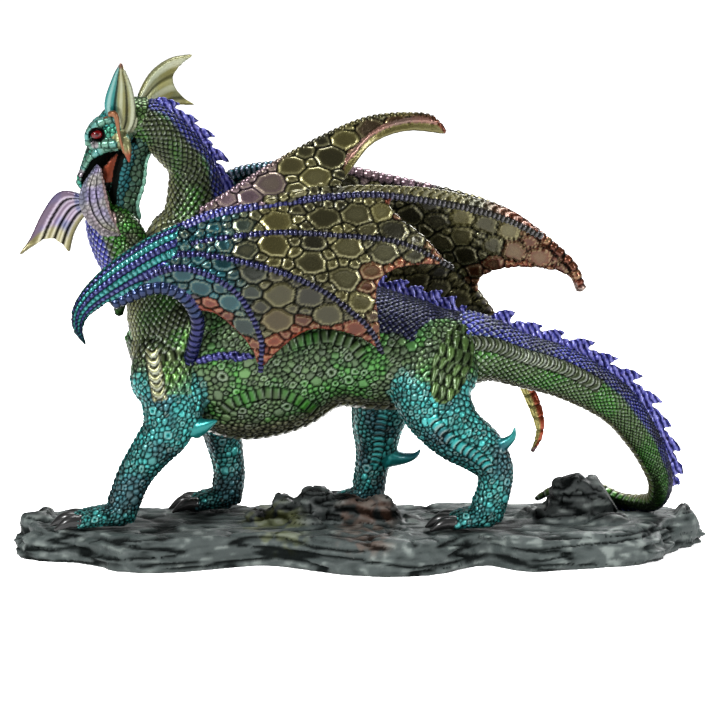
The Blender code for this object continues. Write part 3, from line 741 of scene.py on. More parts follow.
nearWing = {
    "name": "nearWing", "grain": 0.62, "smooth": 2, "thick": 2.3, "seed": 21,
    "lead": [(-97, -41, 121), (-88, -41, 128.5), (-69, -40, 137.8), (-57, -39, 141), (-29, -37, 144.7),
             (4, -33, 147.3), (37, -26, 142.5), (61, -20, 135.7), (78, -16, 127.4)],
    "band": [(-40, -38, 146), (-12, -34, 150.5), (4, -32, 151.5), (31, -27, 149.5), (46, -23, 145.6),
             (61, -19, 140.8), (72, -17, 134), (78, -16, 128)],
    "second": [(-101, -42, 114), (-77, -42, 126), (-39, -43, 132), (-9, -41, 130.7), (17, -36, 127), (39, -30, 115.8)],
    "third": [(-101, -42, 112), (-77, -44, 123), (-43, -46, 118.4), (-17, -45, 108), (2, -42, 92.5), (9, -38, 80)],
    "fourth": [(-101, -42, 108.4), (-77, -45, 117.5), (-54, -46, 108), (-43, -43, 88), (-43, -39, 72)],
    "arm": [(-106, -41, 101), (-88, -43, 108.6), (-76, -41, 105), (-70, -35, 94), (-72, -27, 81), (-76, -16, 68)],
    "horn": [(-118, -36, 83, 0.8, 0.8), (-121, -38, 90, 1.8, 2.4), (-120, -39, 97, 2.6, 3.8),
             (-115, -40, 103.5, 3.4, 5.4), (-107, -41, 110, 3.9, 7), (-98, -41, 116, 4.2, 8),
             (-86, -41, 123, 4, 8.6), (-73, -41, 129, 3, 8.4)],
    "sailTop": [(-69, -39, 142), (-57, -36, 149), (-45, -32, 156.5), (-25, -25, 167.5), (-4, -19, 177),
                (8, -16, 180), (21, -14, 180.5), (31, -13, 179.2), (38, -12, 171)],
    "sailFoot": [(-69, -40, 138), (-57, -39, 141), (-40, -38, 144), (-25, -36, 146), (-12, -34, 149),
                 (-4, -26, 158), (5, -19, 168), (20, -15, 173), (38, -12, 171)],
    "ends": ((0.64, 1), (1, 1)), "scallops": (0.08, 0.15), "tealUntil": -50, "stretch": (0.74, 1, 1)}

farWing = {
    "name": "farWing", "grain": 0.78, "smooth": 2, "thick": 2.3, "seed": 22,
    "lead": [(-88, 36, 100), (-82, 38, 112), (-73, 39, 134), (-61, 39, 145.6), (-47, 39, 150.5), (-20, 37, 152),
             (13, 34, 146), (48, 29, 138), (66, 26, 131), (79, 24, 122), (92, 22, 110), (97, 21, 99)],
    "second": [(-76, 39, 112), (-62, 41, 120), (-40, 42, 127), (-14, 42, 128), (13, 42, 121), (31, 41, 113),
               (43, 40, 104), (54, 38, 92), (63, 35, 78), (73, 31, 57), (80, 29, 35), (76, 28, 25)],
    "third": [(-76, 40, 110), (-62, 43, 114), (-45, 44, 111), (-18, 44, 102), (0, 41, 89), (8, 37, 76)],
    "fourth": [(-78, 40, 108), (-68, 43, 109), (-56, 44, 100), (-47, 43, 86), (-44, 38, 71)],
    "arm": [(-88, 38, 100), (-78, 40, 98), (-71, 36, 88), (-73, 27, 76), (-78, 15, 66)],
    "horn": [(-95, 32, 86, 0.8, 0.8), (-93, 34, 93, 2, 3), (-86, 37, 103, 3.6, 6), (-78, 39, 114, 3.6, 7)],
    "leaf": [(66, 35, 70, 2, 3), (73, 32, 55, 2, 3.2), (78, 30, 43, 1.8, 3), (79.5, 29, 34, 1.4, 2),
             (76, 28, 25, 0.6, 0.8)],
    "ends": ((1, 0.66), (0.88, 1)), "scallops": (0.07, 0.10), "tealUntil": -45, "stretch": (0.8, 1, 1)}


def buildWing(look):
    dice = np.random.default_rng(look["seed"])
    near = look["name"] == "nearWing"
    bm = bmesh.new()
    sheets = [Sheet("first", look["lead"], look["second"], look["ends"][0], look["scallops"][0]),
              Sheet("middle", look["second"], look["third"], look["ends"][1], look["scallops"][1]),
              Sheet("third", look["third"], look["fourth"], scallop=0.14),
              Sheet("root", look["fourth"], look["arm"], (1, 0.55), 0.12)]
    if near:
        sheets += [Sheet("band", look["lead"], look["band"], starts=(0.33, 0), across=12),
                   Sheet("sail", look["sailFoot"], look["sailTop"])]
    for sheet in sheets:
        addSheet(bm, sheet, look["thick"], 4, 2 if sheet.name == "band" else 4)
    fingers = [fingerLimb(look["lead"], 1.9, 1.2 if near else 2.3)]
    fingers += [fingerLimb(look[k], 1.4, 1.1) for k in ("second", "third", "fourth")]
    for finger in fingers:
        addLimb(bm, finger, around=12)
    arm = Limb([(*p, r) for p, r in zip(look["arm"], (2.0, 2.7, 2.9, 2.9, 2.9, 2.9, 3.2))])
    horn = Limb(look["horn"])
    addLimb(bm, arm)
    addLimb(bm, horn)
    leaf = Limb(look["leaf"]) if not near else None
    if leaf:
        addLimb(bm, leaf)
    piece, co, normal = fuse(look["name"], bm, look["grain"], look["smooth"])
    n = len(co)
    x, z = co[:, 0], co[:, 2]
    on = sheetField(co, sheets)
    kind = np.array([s.name for s in sheets])[on["which"]]
    flat = on["flat"]
    drift = noiseAt(flat, 0.07, 5.0)
    rim = np.minimum(on["fromA"], on["fromB"])
    sail = kind == "sail"

    # membrane colours
    tealShare = smoothStep(x + 6 * drift, look["tealUntil"] + 10, look["tealUntil"] - 12)
    base = mixRows(colours["olive"], colours["darkOlive"], smoothStep(drift, -0.3, 0.4))
    # the far wing's membranes are painted a little darker than the near wing's: painted shade
    if not near:
        base = base * 0.85
    lower = np.isin(kind, ("third", "root"))
    base = mixRows(base, colours["steel"], np.where(lower, 0.12, 0.08))
    # the third and root panels are painted darker than the rest: painted shade
    base = base * np.where(kind == "third", 0.42, np.where(kind == "root", 0.5, 1))[:, None]
    base = mixRows(base, colours["deepTeal"], np.where(sail, 0, tealShare))
    pinkShare = smoothStep(x, -28, -44) * sail
    if not near:
        pinkShare = (on["fromA"] < 6) * (kind == "first") * smoothStep(x, -12, -6) * smoothStep(x, 36, 28)
    base = mixRows(base, colours["pink"], 0.85 * pinkShare)
    if near:
        fromTrail = np.where(kind == "band", 99, on["fromEnd"])
        fromTrail = np.where(sail, 99, fromTrail)
    else:
        fromTrail = on["fromEnd"]
    slim = (kind == "first") & near
    copper = smoothStep(fromTrail + 5 * drift, np.where(slim, 5, 10), np.where(slim, 2, 6))
    if not near:
        copper = np.maximum(copper, 0.85 * smoothStep(x + 5 * drift, 62, 74) * (kind == "first"))
    if near:
        ridge = sail * (x > -7) * smoothStep(np.abs(on["fromA"] - 5.2), 1.5, 0.9)
        tip = smoothStep(x, 26, 36)
        copper = np.where(sail, 0.55 * smoothStep(on["fromA"], 9, 5.5) * (x > -7) + 0.5 * tip, copper)
        copper = np.where(kind == "band", smoothStep(x, 50, 66), copper)
    base = mixRows(base, mixRows(colours["copper"], colours["paleCopper"],
                                 smoothStep(drift, 0.0, 0.4)), np.clip(copper, 0, 1) * 0.9)

    # cells that grow towards the middle of each panel
    lot = dice.random(n)
    room = np.minimum(rim, np.where(sail, 99, fromTrail) + 1)
    room = np.where(sail, 1.2 * rim + 3, room)
    size = np.clip(0.95 * room, 2.4, 9.5 if near else 8.5) * (0.62 + 0.38 * dice.random(n))
    size = np.where(lot > 0.05, np.minimum(size, 3.4), size)
    size = np.maximum(size, 2.1) * (1 - 0.2 * tealShare * ~sail)
    drawn = flat * np.array(look["stretch"])
    seeds = strewSeeds(drawn, size, dice)
    cell, gap, _ = cellField(drawn, drawn[seeds], size[seeds])
    print(look["name"], "cells", len(seeds))
    inner = smoothStep(gap, 0.9, 2.4)
    paint = base[seeds][cell] * (numberShade(cell, 0.38) * (0.66 - 0.24 * inner))[:, None]
    big = size[seeds][cell]
    height = 1.25 * (1 - (1 - np.clip(gap / np.clip(big * 0.3, 0.8, 2.0), 0, 1)) ** 2) - 0.35 * inner
    tone, clear = brush(paint, gap, 0.6, 0.98)
    # a pale gold rim line round the big cells, partly paint and partly painted highlight, and a painted sheen on some
    # cells outside the lower panels
    line = smoothStep(gap, 0.55, 0.8) * smoothStep(gap, 1.3, 0.95) * (big > 2.6)
    paintedSheen = smoothStep(gap, 1.2, 3.0) * (numberShade(cell, 1, 7) > 1.25) * ~lower
    tone = lighten(tone, (0.18 - 0.08 * lower) * line + 0.06 * paintedSheen, (0.42, 0.4, 0.22))
    carve = Carving(height, tone, clear)

    # plain copper rims and the ridge of the sail
    edge = (fromTrail < np.where(kind == "first", 1.3, 2.2)) & (kind != "band") & ~sail
    rimTone = colours["copper"] * (0.45 + 0.3 * smoothStep(drift, -0.3, 0.3))[:, None]
    rimTone = np.where((kind == "first")[:, None] & near, srgb(176, 92, 40), rimTone)
    carve.lay(edge, 0.9 + 0.3 * smoothStep(fromTrail, 2.2, 0.6),
              lighten(rimTone, 0.12 * smoothStep(fromTrail, 1.4, 0.2)), smoothStep(fromTrail, 2.2, 1.5))
    if near:
        carve.lay(ridge > 0.4, 1.9 * ridge, lighten(rimTone, 0.06), np.clip(ridge, 0, 1))
        plain = sail & (x > -7) & (on["fromA"] < 3.6)
        carve.lay(plain, 0.8, colours["olive"] * 0.7, 0.35 + 0.65 * smoothStep(on["fromA"], 3.6, 2.6))
        top = sail & (on["fromB"] < 1.6)
        notch = beat(on["alongA"], 2.6)[1]
        topTone, topClear = brush(base * 0.6, notch, 0.6, 0.9)
        carve.lay(top, 0.9 * topClear + 0.3, topTone, topClear)
        bandLow = (kind == "band") & (on["away"] < 2.6) & (x > -12)
        notch = np.minimum(beat(on["alongA"], 4.2)[1], on["fromB"] + 0.8)
        shade = numberShade(np.floor(on["alongA"] / 4.2), 0.15)[:, None]
        bandTone, bandClear = brush(0.6 * base * shade, notch, 0.7, 0.93)
        carve.lay(bandLow, 0.7 * bandClear, lighten(bandTone, 0.05 * smoothStep(notch, 0.8, 1.6)), bandClear)

    # beaded bones
    for number, finger in enumerate(fingers):
        place = finger.field(co)
        along, reach = place.along, place.reach
        thin = reach < 1.25
        if near and number == 0:
            thin &= ~((kind == "band") & (on["fromA"] > 2.2) & (x > -12))
        if not near and number == 0:
            thin &= x < -8
        pitch = 2.1 if near else (2.6 if number == 0 else 4.0)
        bead = beat(along, pitch)[1]
        side = smoothStep(reach, 1.25, 1.08)
        if not near:
            if number == 0:
                bone = mixRows(colours["copper"], colours["olive"],
                               smoothStep(along, finger.length * 0.78, finger.length * 0.68))
                bone = mixRows(bone, colours["pink"], smoothStep(x, -12, -4) * smoothStep(x, 40, 32))
                bone = mixRows(bone, colours["deepTeal"], smoothStep(x, -22, -34))
            else:
                bone = mixRows(colours["cream"] * 0.85, colours["copper"],
                               smoothStep(along, finger.length * 0.62, finger.length * 0.8))
        else:
            bone = mixRows(colours["blue"], colours["deepBlue"], smoothStep(x, -60, -10))
            bone = mixRows(bone, colours["darkOlive"], 0.7 * smoothStep(x, -10, 45) * (number != 2))
        shade = numberShade(np.floor(along / pitch), 0.12, number)[:, None]
        boneTone, boneClear = brush(bone * shade, bead, 0.75, 0.95)
        glint = smoothStep(bead, 0.75, 1.1) * (0.08 + 0.4 * smoothStep(x, -20, -70) * (number == 0))
        boneTone = lighten(boneTone * (1 if number == 0 else 0.45), glint, (0.62, 0.6, 0.85))
        # beads darken where they sink into the membrane: painted shade in the crease
        carve.lay(thin, (0.55 + 0.75 * boneClear) * (0.4 + 0.6 * side), mixRows(boneTone * 0.25, boneTone, side),
                  boneClear * side)

    # the back of the hand and its hook: rows of beads, blue and teal by turns
    for limb, rows in ((horn, 8), (arm, 5)):
        place = limb.field(co)
        along = place.along
        if limb is arm:
            mask = (place.reach < 1.16) & (x > -112)
        else:
            mask = (place.reach < 1.14) & (x < (-78 if near else 999))
        around = (place.angle / math.pi + 1) / 2 * rows * 2
        lane = np.floor(around)
        share = around - lane
        laneGap = np.minimum(share, 1 - share) * (math.pi * place.radius / rows)
        pitch = np.where(place.radius > 3, 2.4, 1.8)
        step = (along / pitch + 0.5 * (lane % 2)) % 1
        bead = np.minimum(step, 1 - step) * pitch
        beadGap = np.minimum(bead, laneGap * 1.3)
        if limb is arm:
            beadGap = beat(along, 3.2)[1]
            laneTone = mixRows(colours["blue"], colours["deepTeal"], 0.3 * (drift > 0.1)) * 0.42
        else:
            laneTone = mixRows(colours["blue"], colours["teal"], (lane % 2)) * 0.7
        shade = numberShade(lane * 57 + np.floor(along / pitch), 0.2)[:, None]
        handTone, handClear = brush(laneTone * shade, beadGap, 0.62, 0.94)
        glint = (0 if limb is arm else 0.1) * smoothStep(beadGap, 0.6, 1.1)
        carve.lay(mask, 0.9 * handClear, lighten(handTone, glint, (0.5, 0.6, 0.8)), handClear)
    if leaf:
        place = leaf.field(co)
        along = place.along
        offX = x - np.interp(along, leaf.run, leaf.centre[:, 0])
        seam = np.minimum(beat(along, 5.5)[1], np.abs(offX) + 0.3)
        leafBase = mixRows(colours["gold"], colours["copper"], smoothStep(offX, -0.4, 0.4))
        leafTone, leafClear = brush(leafBase * 1.7, seam, 0.6, 0.9)
        carve.lay((place.reach < 1.25) & (z < 66), 0.6 * leafClear, leafTone, leafClear)

    co = co + normal * (carve.height * 0.6 - 0.3)[:, None]
    finishPiece(piece, co, carve.tone, carve.clear, paints["wing"])


buildWing(nearWing)
buildWing(farWing)


tail = {
    "grain": 0.53, "smooth": 3, "count": 28, "relief": 0.6,
    "stations": [(40, 0, 76.5, 14, 15.5), (47, 0, 76, 14, 16), (58, 0, 75, 12, 13.5), (70, -1, 71, 10.5, 11.8),
                 (90, -3, 65, 9.8, 10.9), (111, -3, 52.5, 8.4, 9.2), (123, -1, 37, 7, 7.4), (130, 2, 23, 5.8, 6.1),
                 (132, 6, 14, 5, 5.2), (130, 13, 6, 4.4, 4.4), (124, 21, 3, 3.9, 3.9), (115, 27, 3.4, 3.5, 3.5),
                 (106, 31, 7, 3.3, 3.3), (95, 33, 9.5, 2.8, 2.8), (86, 34, 6.6, 2.2, 2.2), (78, 34, 2.5, 1.3, 1.3)]}


def buildTail():
    limb = Limb(tail["stations"])
    bm = bmesh.new()
    addLimb(bm, limb, around=28)
    piece, co, normal = fuse("tail", bm, tail["grain"], tail["smooth"])
    n = len(co)
    along, angle, _, radius, pace = limb.field(co)
    drift = noiseAt(co, 0.08, 2.0)
    side = np.abs(angle)
    base = mixRows(colours["moss"], colours["green"], smoothStep(drift, -0.2, 0.3) * 0.7)
    base = mixRows(base, colours["scute"], smoothStep(side, 2.3, 2.6))
    base = mixRows(base, mixRows(colours["blue"], colours["deepBlue"], smoothStep(drift, -0.2, 0.3)),
                   smoothStep(side + 0.15 * drift, 1.15, 0.95))
    carve = blank(n)
    count = tail["count"]
    everywhere = np.ones(n, bool)
    sway = 0.35 * noiseAt(co, 0.22, 5.0)
    carve.scales(everywhere, pace * count / (2 * math.pi) / 0.62 + sway, angle / (2 * math.pi) * count,
                 2 * math.pi * radius / count, base, wrap=count, lift=1.9)
    across = (side - 1.28) * radius
    look = {"groove": (0.7, 0.95), "uneven": 0.15}
    carve.plates((along > 8) & (along < 66), along, across, 3.0, 3.3, 0.9, colours["neck"] * 0.6,
                 lift=1.6, rim=0.22, **look)
    carve.plates(everywhere, along, (math.pi - side) * radius, 3.6, 5.0, -0.3, base, lift=1.4, **look)
    co = co + normal * (carve.height * tail["relief"] * np.clip(radius / 5, 0.4, 1) - 0.3)[:, None]
    co[:, 2] = np.maximum(co[:, 2], 0)
    finishPiece(piece, co, carve.tone, carve.clear, paints["hide"])


buildTail()


head = {
    "grain": 0.42, "smooth": 2,
    "skull": [(-93, -5, 177, 9.5, 9.5), (-102, -6, 177, 9.5, 9), (-107.5, -7, 170.5, 9, 8.7),
              (-112.5, -7, 163, 6.8, 6.4), (-117, -7, 155, 4.8, 4.6), (-120.4, -7, 148, 3.6, 3.3)],
    "jaw": [(-99, -6, 166, 6, 5), (-102.5, -7, 156, 4.8, 4.6), (-104, -7, 147, 4.2, 4.6), (-104.5, -7, 139, 3.6, 4.2),
            (-104, -7, 133, 2.6, 3)],
    "throat": [(-95, -6, 169, 6, 6), (-98, -6, 160, 4, 5), (-98.5, -7, 150, 2.6, 4.4), (-101, -8, 140, 2.6, 4),
               (-100, -7, 130, 3.4, 5)],
    "tongue": [(-101, -6, 168, 4), (-107, -6, 160, 3.6), (-110, -7, 150, 3.2), (-112, -7, 144, 2.4)],
    "brow": [(-118, -11, 166, 1.0), (-117, -14, 172, 1.7), (-112, -15.8, 176.5, 1.9), (-105, -15.5, 178.5, 1.6)],
    "cheek": [(-117, -12, 165.4, 1.0), (-112, -14.4, 167, 1.7), (-106, -15.4, 167.5, 2.2), (-100, -15, 170, 2.4)],
    "lip": [(-104, -14, 165.4, 1.5), (-109.4, -13.4, 165.2, 1.5), (-115.6, -12, 161.8, 1.4), (-118.8, -10.6, 157, 1.2),
            (-121, -9.2, 151.8, 0.9)],
    "nostril": [(-117.6, -10, 156, 1.0), (-120.8, -9.6, 153, 1.7), (-121.6, -9, 149.5, 1.2)],
    "knob": [(-108, -18.6, 180.4, 1.5), (-105.2, -19.8, 180.2, 1.4), (-103.8, -19.2, 172, 0.9),
             (-102, -18, 163.5, 0.5)],
    "frillFront": [(-106, -12, 172), (-110, -15, 184), (-106.5, -19, 196), (-102.6, -21, 203)],
    "frillBack": [(-103, -12, 168), (-97.5, -16, 177), (-98, -18, 190), (-102.6, -21, 203)],
    "frillSpike": [(-105, -12, 172, 4), (-101, -16, 166, 2.6), (-99.6, -18, 159.5, 0.6)],
    "farTop": [(-98, 2, 183), (-91.6, 6, 195), (-83, 10, 201.5), (-73.5, 14, 203)],
    "farLow": [(-97, 2, 176), (-85, 12, 181), (-73, 18, 181)],
    "middle": -7, "lipLine": [(-121.4, 151.4), (-118.7, 156.6), (-116, 161), (-109.4, 164.4), (-104, 165)],
    "eye": (-113.7, -14.0, 171.2), "eyeRadius": 2.2, "socket": 3.2, "scallops": 10}


def mirrored(stations):
    return [(s[0], 2 * head["middle"] - s[1], *s[2:]) for s in stations]


def buildHead():
    bm = bmesh.new()
    limbs = {k: Limb(head[k], perSpan=4) for k in ("skull", "jaw", "throat", "tongue", "frillSpike")}
    for limb in limbs.values():
        addLimb(bm, limb, around=20)
    extras = [Limb(head[k], perSpan=4) for k in ("brow", "cheek", "lip", "nostril", "knob")]
    extras += [Limb(mirrored(head[k]), perSpan=4) for k in ("brow", "cheek", "lip", "nostril")]
    for limb in extras:
        addLimb(bm, limb, around=10)
    throat = limbs["throat"]
    lobes = []
    for k in range(head["scallops"]):
        row, _, _, bend = throat.at(0.16 + 0.8 * k / head["scallops"])
        start = row[:3] + bend * row[4] * 0.7
        tip = row[:3] + bend * (row[4] + 0.9)
        lobes.append(Limb([(*start, 1.1, 2.3), (*tip, 0.9, 1.9)], perSpan=3))
        addLimb(bm, lobes[-1], around=10)
    sheets = [Sheet("near", head["frillFront"], head["frillBack"], along=60),
              Sheet("far", head["farTop"], head["farLow"], scallop=0.3, along=60)]
    for sheet in sheets:
        addSheet(bm, sheet, 2.4, 3, 4)
    piece, co, normal = fuse("head", bm, head["grain"], head["smooth"])
    n = len(co)
    x, y, z = co.T
    drift = noiseAt(co, 0.16, 3.0)
    fields = {k: limb.field(co) for k, limb in limbs.items()}
    owner = np.stack([fields[k].reach for k in ("skull", "jaw", "throat", "tongue")]).argmin(axis=0)
    base = mixRows(colours["mint"] * 0.8, colours["teal"], smoothStep(drift, -0.25, 0.3))
    base = mixRows(base, colours["neck"] * 0.6, (owner == 2) * 0.85)
    base = mixRows(base, colours["blue"], (x > -101) * smoothStep(z, 180, 183))
    base = mixRows(base, colours["moss"], (owner == 0) * smoothStep(x, -103, -97))
    base = mixRows(base, colours["deepTeal"] * 0.6, (owner == 1) * 0.85)
    pink = np.maximum(smoothStep(np.hypot(x + 120.5, z - 153.5), 2.6, 1.6),
                      smoothStep(np.hypot(x + 114.5, z - 166.8), 2.2, 1.2))
    base = mixRows(base, colours["pink"], 0.8 * pink)
    carve = blank(n)
    size = np.where(owner == 2, 1.9, 1.5) * (0.8 + 0.4 * np.random.default_rng(5).random(n))
    carve.cells(co, base, size, np.random.default_rng(6), deep=0.42, dome=0.55)
    carve.height *= 0.5
    tongue = (owner == 3) & (x > -113)
    # the inside of the open mouth is painted near black and the tongue fades to black towards the inside: painted
    # shade
    inside = (owner == 3) | ((owner == 1) & (np.abs(normal[:, 0]) > 0.2) & (normal[:, 0] < -0.2))
    carve.lay(inside, 0, colours["wash"] * 1.2, 0.1)
    red = mixRows(colours["wash"], colours["copper"] * 0.7, smoothStep(y, -8.6, -9.6))
    carve.lay(tongue & (z > 150), 0, red, 0.5)
    for limb in extras[:3] + extras[5:8]:
        place = limb.field(co)
        tone, clear = brush(base * 0.6, beat(place.along, 3.2)[1], 0.45, 0.75)
        carve.lay(place.reach < 1.15, 0.5 * clear, lighten(tone, 0.05 * clear), clear)
    lipZ = np.interp(x, *zip(*head["lipLine"]))
    # the slit under the upper lip is carved and painted black: painted shade in the open mouth
    carve.lay((owner == 0) & (z < lipZ - 1.0) & (x > -120.4) & (x < -101), -2.0, colours["wash"], 0)
    eyeX, _, eyeZ = head["eye"]
    socket = np.hypot((x - eyeX) / 1.15, z - eyeZ)
    carve.lay((socket < head["socket"]) & (owner == 0) & (np.abs(y - head["middle"]) > 4.5), -0.3, colours["wash"],
              smoothStep(socket, 2.9, 3.2))
    lobeNear = np.min([lobe.field(co).reach for lobe in lobes], axis=0)
    carve.lay(lobeNear < 1.2, smoothStep(lobeNear, 1.2, 0.8) * 0.4, lighten(colours["mint"] * 0.75, 0.08), 0.9)

    # frills: lengthwise ribs, teal in front, cream behind, copper tips
    on = sheetField(co, sheets)
    onSheet = (on["away"] < 1.75) & (on["u"] > 0.06)
    nearFrill = onSheet & (on["which"] == 0) & (z > 172)
    farFrill = onSheet & (on["which"] == 1) & (x > -96)
    bone = mixRows(colours["cream"] * 0.85, colours["gold"], smoothStep(drift, -0.25, 0.25))
    frill = mixRows(colours["teal"], bone, smoothStep(on["v"] + 0.25 * (on["u"] - 0.5), 0.28, 0.5)) * 0.5
    frill = mixRows(frill, colours["copper"], 0.8 * smoothStep(on["u"], 0.9, 0.97))
    rib = np.abs(np.sin(on["v"] * math.pi * 2.5 + 0.4))
    tone, clear = brush(frill, rib * 1.6, 0.9, 0.85)
    carve.lay(nearFrill, 0.9 * rib, lighten(tone, 0.1 * smoothStep(rib, 0.8, 1)), 0.2 + 0.8 * clear)
    rib = np.abs(np.sin(on["v"] * math.pi * 2 + 0.9))
    bone = mixRows(colours["cream"] * 0.5, colours["gold"] * 0.6, smoothStep(drift, -0.2, 0.3))
    tone, clear = brush(bone, rib * 1.6, 0.7, 0.6)
    carve.lay(farFrill, 0.8 * rib, lighten(tone, 0.12 * smoothStep(rib, 0.8, 1)), 0.2 + 0.8 * clear)
    place = fields["frillSpike"]
    spike = mixRows(colours["cream"] * 0.5, colours["copper"], smoothStep(place.along, 9, 13))
    carve.lay((place.reach < 1.2) & (y < -12) & (place.along > 2), 0, spike, 0.9)
    carve.lay(extras[4].field(co).reach < 1.2, 0, mixRows(colours["copper"], colours["cream"], 0.15), 0.9)
    co = co + normal * (carve.height * 0.5 - 0.12)[:, None]
    finishPiece(piece, co, carve.tone, carve.clear, paints["hide"])


def buildEyes():
    bm = bmesh.new()
    x, y, z = head["eye"]
    for place in ((x, y, z), (x, 2 * head["middle"] - y, z)):
        new = bmesh.ops.create_uvsphere(bm, u_segments=32, v_segments=20, radius=head["eyeRadius"])["verts"]
        bmesh.ops.scale(bm, vec=(1.2, 0.8, 0.9), verts=new)
        bmesh.ops.translate(bm, vec=place, verts=new)
    piece = newPiece("eyes", bm)
    co = np.array([v.co for v in piece.data.vertices])
    away = np.hypot(co[:, 0] - x - 0.3, (co[:, 2] - z) * 0.7)
    tone = mixRows(colours["red"] * 0.9, colours["pupil"], smoothStep(away, 0.7, 0.35))
    finishPiece(piece, co, tone, np.ones(len(co)), paints["eye"])


buildHead()
buildEyes()


hatchling = {
    "grain": 0.42, "smooth": 2, "count": 18,
    "body": [(-113, -7, 148, 3, 3.4), (-113, -8, 140, 5, 5.6), (-110, -9, 130, 7, 8.2), (-106.5, -9, 120.5, 7.6, 8.6),
             (-103.5, -9, 111, 6.4, 7), (-104.5, -9, 101, 3.6, 4), (-105, -9, 92, 1.6, 1.8)],
    "head": [(-108, -9, 135, 5, 6), (-101, -13, 132, 4.6, 4.8), (-96, -15, 126, 3.6, 3.8), (-95, -16, 121, 2, 2.2)],
    "leg": [(-104, -13, 124, 4, 4.5), (-98, -16, 119, 3, 3.4), (-97, -16, 113, 2.4, 2.6), (-100, -17, 110, 1.6, 1.8)],
    "farTop": [(-116, -3, 142), (-130, 3, 144.5), (-138, 6, 135.5), (-144.6, 8, 122), (-149, 7, 116)],
    "farLow": [(-115, -4, 139), (-121, 0, 133), (-125, 2, 126), (-127, 3, 118)],
    "nearFront": [(-114, -13, 158), (-119.5, -17, 150), (-121, -18, 144), (-119.5, -18, 137), (-114, -17, 130),
                  (-105, -14, 128)],
    "nearBack": [(-112.5, -13, 157), (-110.5, -15, 149), (-109, -15, 142), (-107.5, -15, 136), (-104.5, -14, 129)]}


def buildHatchling():
    bm = bmesh.new()
    limbs = [Limb(hatchling[k], perSpan=4) for k in ("body", "head", "leg")]
    for limb in limbs:
        addLimb(bm, limb, around=18)
    sheets = [Sheet("far", hatchling["farTop"], hatchling["farLow"], scallop=0.2, along=60),
              Sheet("near", hatchling["nearFront"], hatchling["nearBack"], along=60)]
    for sheet in sheets:
        addSheet(bm, sheet, 2.2, 3, 4)
    piece, co, normal = fuse("hatchling", bm, hatchling["grain"], hatchling["smooth"])
    n = len(co)
    x, y, z = co.T
    drift = noiseAt(co, 0.13, 9.0)
    carve = blank(n)
    fields = [limb.field(co) for limb in limbs]
    owner = np.stack([f.reach for f in fields]).argmin(axis=0)
    along, angle, _, radius, pace = fields[0]
    count = hatchling["count"]
    front = smoothStep(x - np.interp(along, limbs[0].run, limbs[0].centre[:, 0]), -3.4, -1.4)
    base = mixRows(colours["neck"], colours["green"], smoothStep(drift, -0.2, 0.3))
    base = mixRows(colours["blue"], base, front)
    carve.scales(np.ones(n, bool), pace * count / (2 * math.pi) / 0.65, angle / (2 * math.pi) * count,
                 2 * math.pi * radius / count, base, wrap=count, lift=1.3, groove=(0.5, 0.95))
    pebbles = blank(n)
    pebbles.cells(co, base, np.full(len(co), 1.6), np.random.default_rng(8), deep=0.42, dome=0.5)
    carve.lay(owner > 0, pebbles.height, pebbles.tone, pebbles.clear)
    spine = (front < 0.3) & (owner == 0)
    share, gap = beat(along, 3.0)
    carve.lay(spine & (np.abs(y + 8.5) < 2.4), 1.2 + 1.8 * (1 - np.abs(share - 0.6)),
              lighten(colours["blue"], 0.15 * share), smoothStep(gap, 0.2, 0.8))
    on = sheetField(co, sheets)
    far = (on["away"] < 1.7) & (on["which"] == 0) & (x < -114)
    wing = mixRows(colours["lavender"], colours["blue"], smoothStep(drift + (x + 130) * 0.04, -0.1, 0.35)) * 0.55
    wing = mixRows(wing, colours["pink"] * 0.8, smoothStep(drift, 0.0, -0.3) * 0.8)
    wing = mixRows(wing, colours["gold"], np.maximum(smoothStep(on["fromEnd"], 8, 4), smoothStep(on["v"], 0.8, 0.98)))
    rib = np.minimum(np.abs(on["v"] - 0.3), np.minimum(np.abs(on["v"] - 0.58), np.abs(on["v"] - 0.82))) * 14
    tone, clear = brush(wing * (0.45 + 0.55 * smoothStep(rib, 2.2, 0.9))[:, None], rib, 0.9, 0.95)
    carve.lay(far, 0.9 * clear, lighten(tone, 0.14 * smoothStep(rib, 1.8, 0.9) * clear), clear)
    near = (on["away"] < 1.7) & (on["which"] == 1) & (y < -12.6)
    leaf = mixRows(colours["lavender"], colours["cream"] * 1.3, 0.6 * smoothStep(drift, -0.2, 0.2))
    leaf = mixRows(leaf, colours["blue"], smoothStep(on["v"] + 0.4 * drift, 0.3, 0.1) * smoothStep(z, 134, 142))
    leaf = mixRows(leaf, colours["cream"], smoothStep(z + 6 * on["v"], 144, 132)) * 0.62
    leaf = mixRows(leaf, colours["pink"] * 0.8, 0.7 * smoothStep(on["v"], 0.45, 0.2) * smoothStep(z, 142, 136))
    leaf = mixRows(leaf, colours["copper"], smoothStep(on["v"], 0.86, 0.93))
    rib = np.minimum(np.abs(on["v"] - 0.35), np.abs(on["v"] - 0.62)) * 10
    tone, clear = brush(leaf * (0.5 + 0.5 * smoothStep(rib, 2.0, 0.8))[:, None], rib, 0.6, 0.9)
    clear = clear * (0.45 + 0.55 * pebbles.clear)
    tone = tone * (0.4 + 0.6 * pebbles.clear)[:, None]
    carve.lay(near, 0.8 * clear + 0.5 * smoothStep(on["v"], 0.84, 0.95), lighten(tone, 0.08 * clear), clear)
    co = co + normal * (carve.height * 0.45 - 0.15)[:, None]
    finishPiece(piece, co, carve.tone, carve.clear, paints["crest"])


buildHatchling()


crest = {
    "grain": 0.49, "smooth": 1,
    "rows": [("neck", 0.42, 0.98, 8, 6.0), ("torso", 0.60, 0.92, 5, 5.0), ("tail", 0.03, 0.60, 10, 6.4),
             ("tail", 0.74, 0.95, 6, 4.0)],       # limb, first and last share of its length, blades, height
    "flank": [(-69, -24.6, 75.0), (-63.5, -25.6, 76.4), (-58, -26.2, 76.8), (-52.5, -26.4, 76.2), (-47, -26.6, 75.2)]}


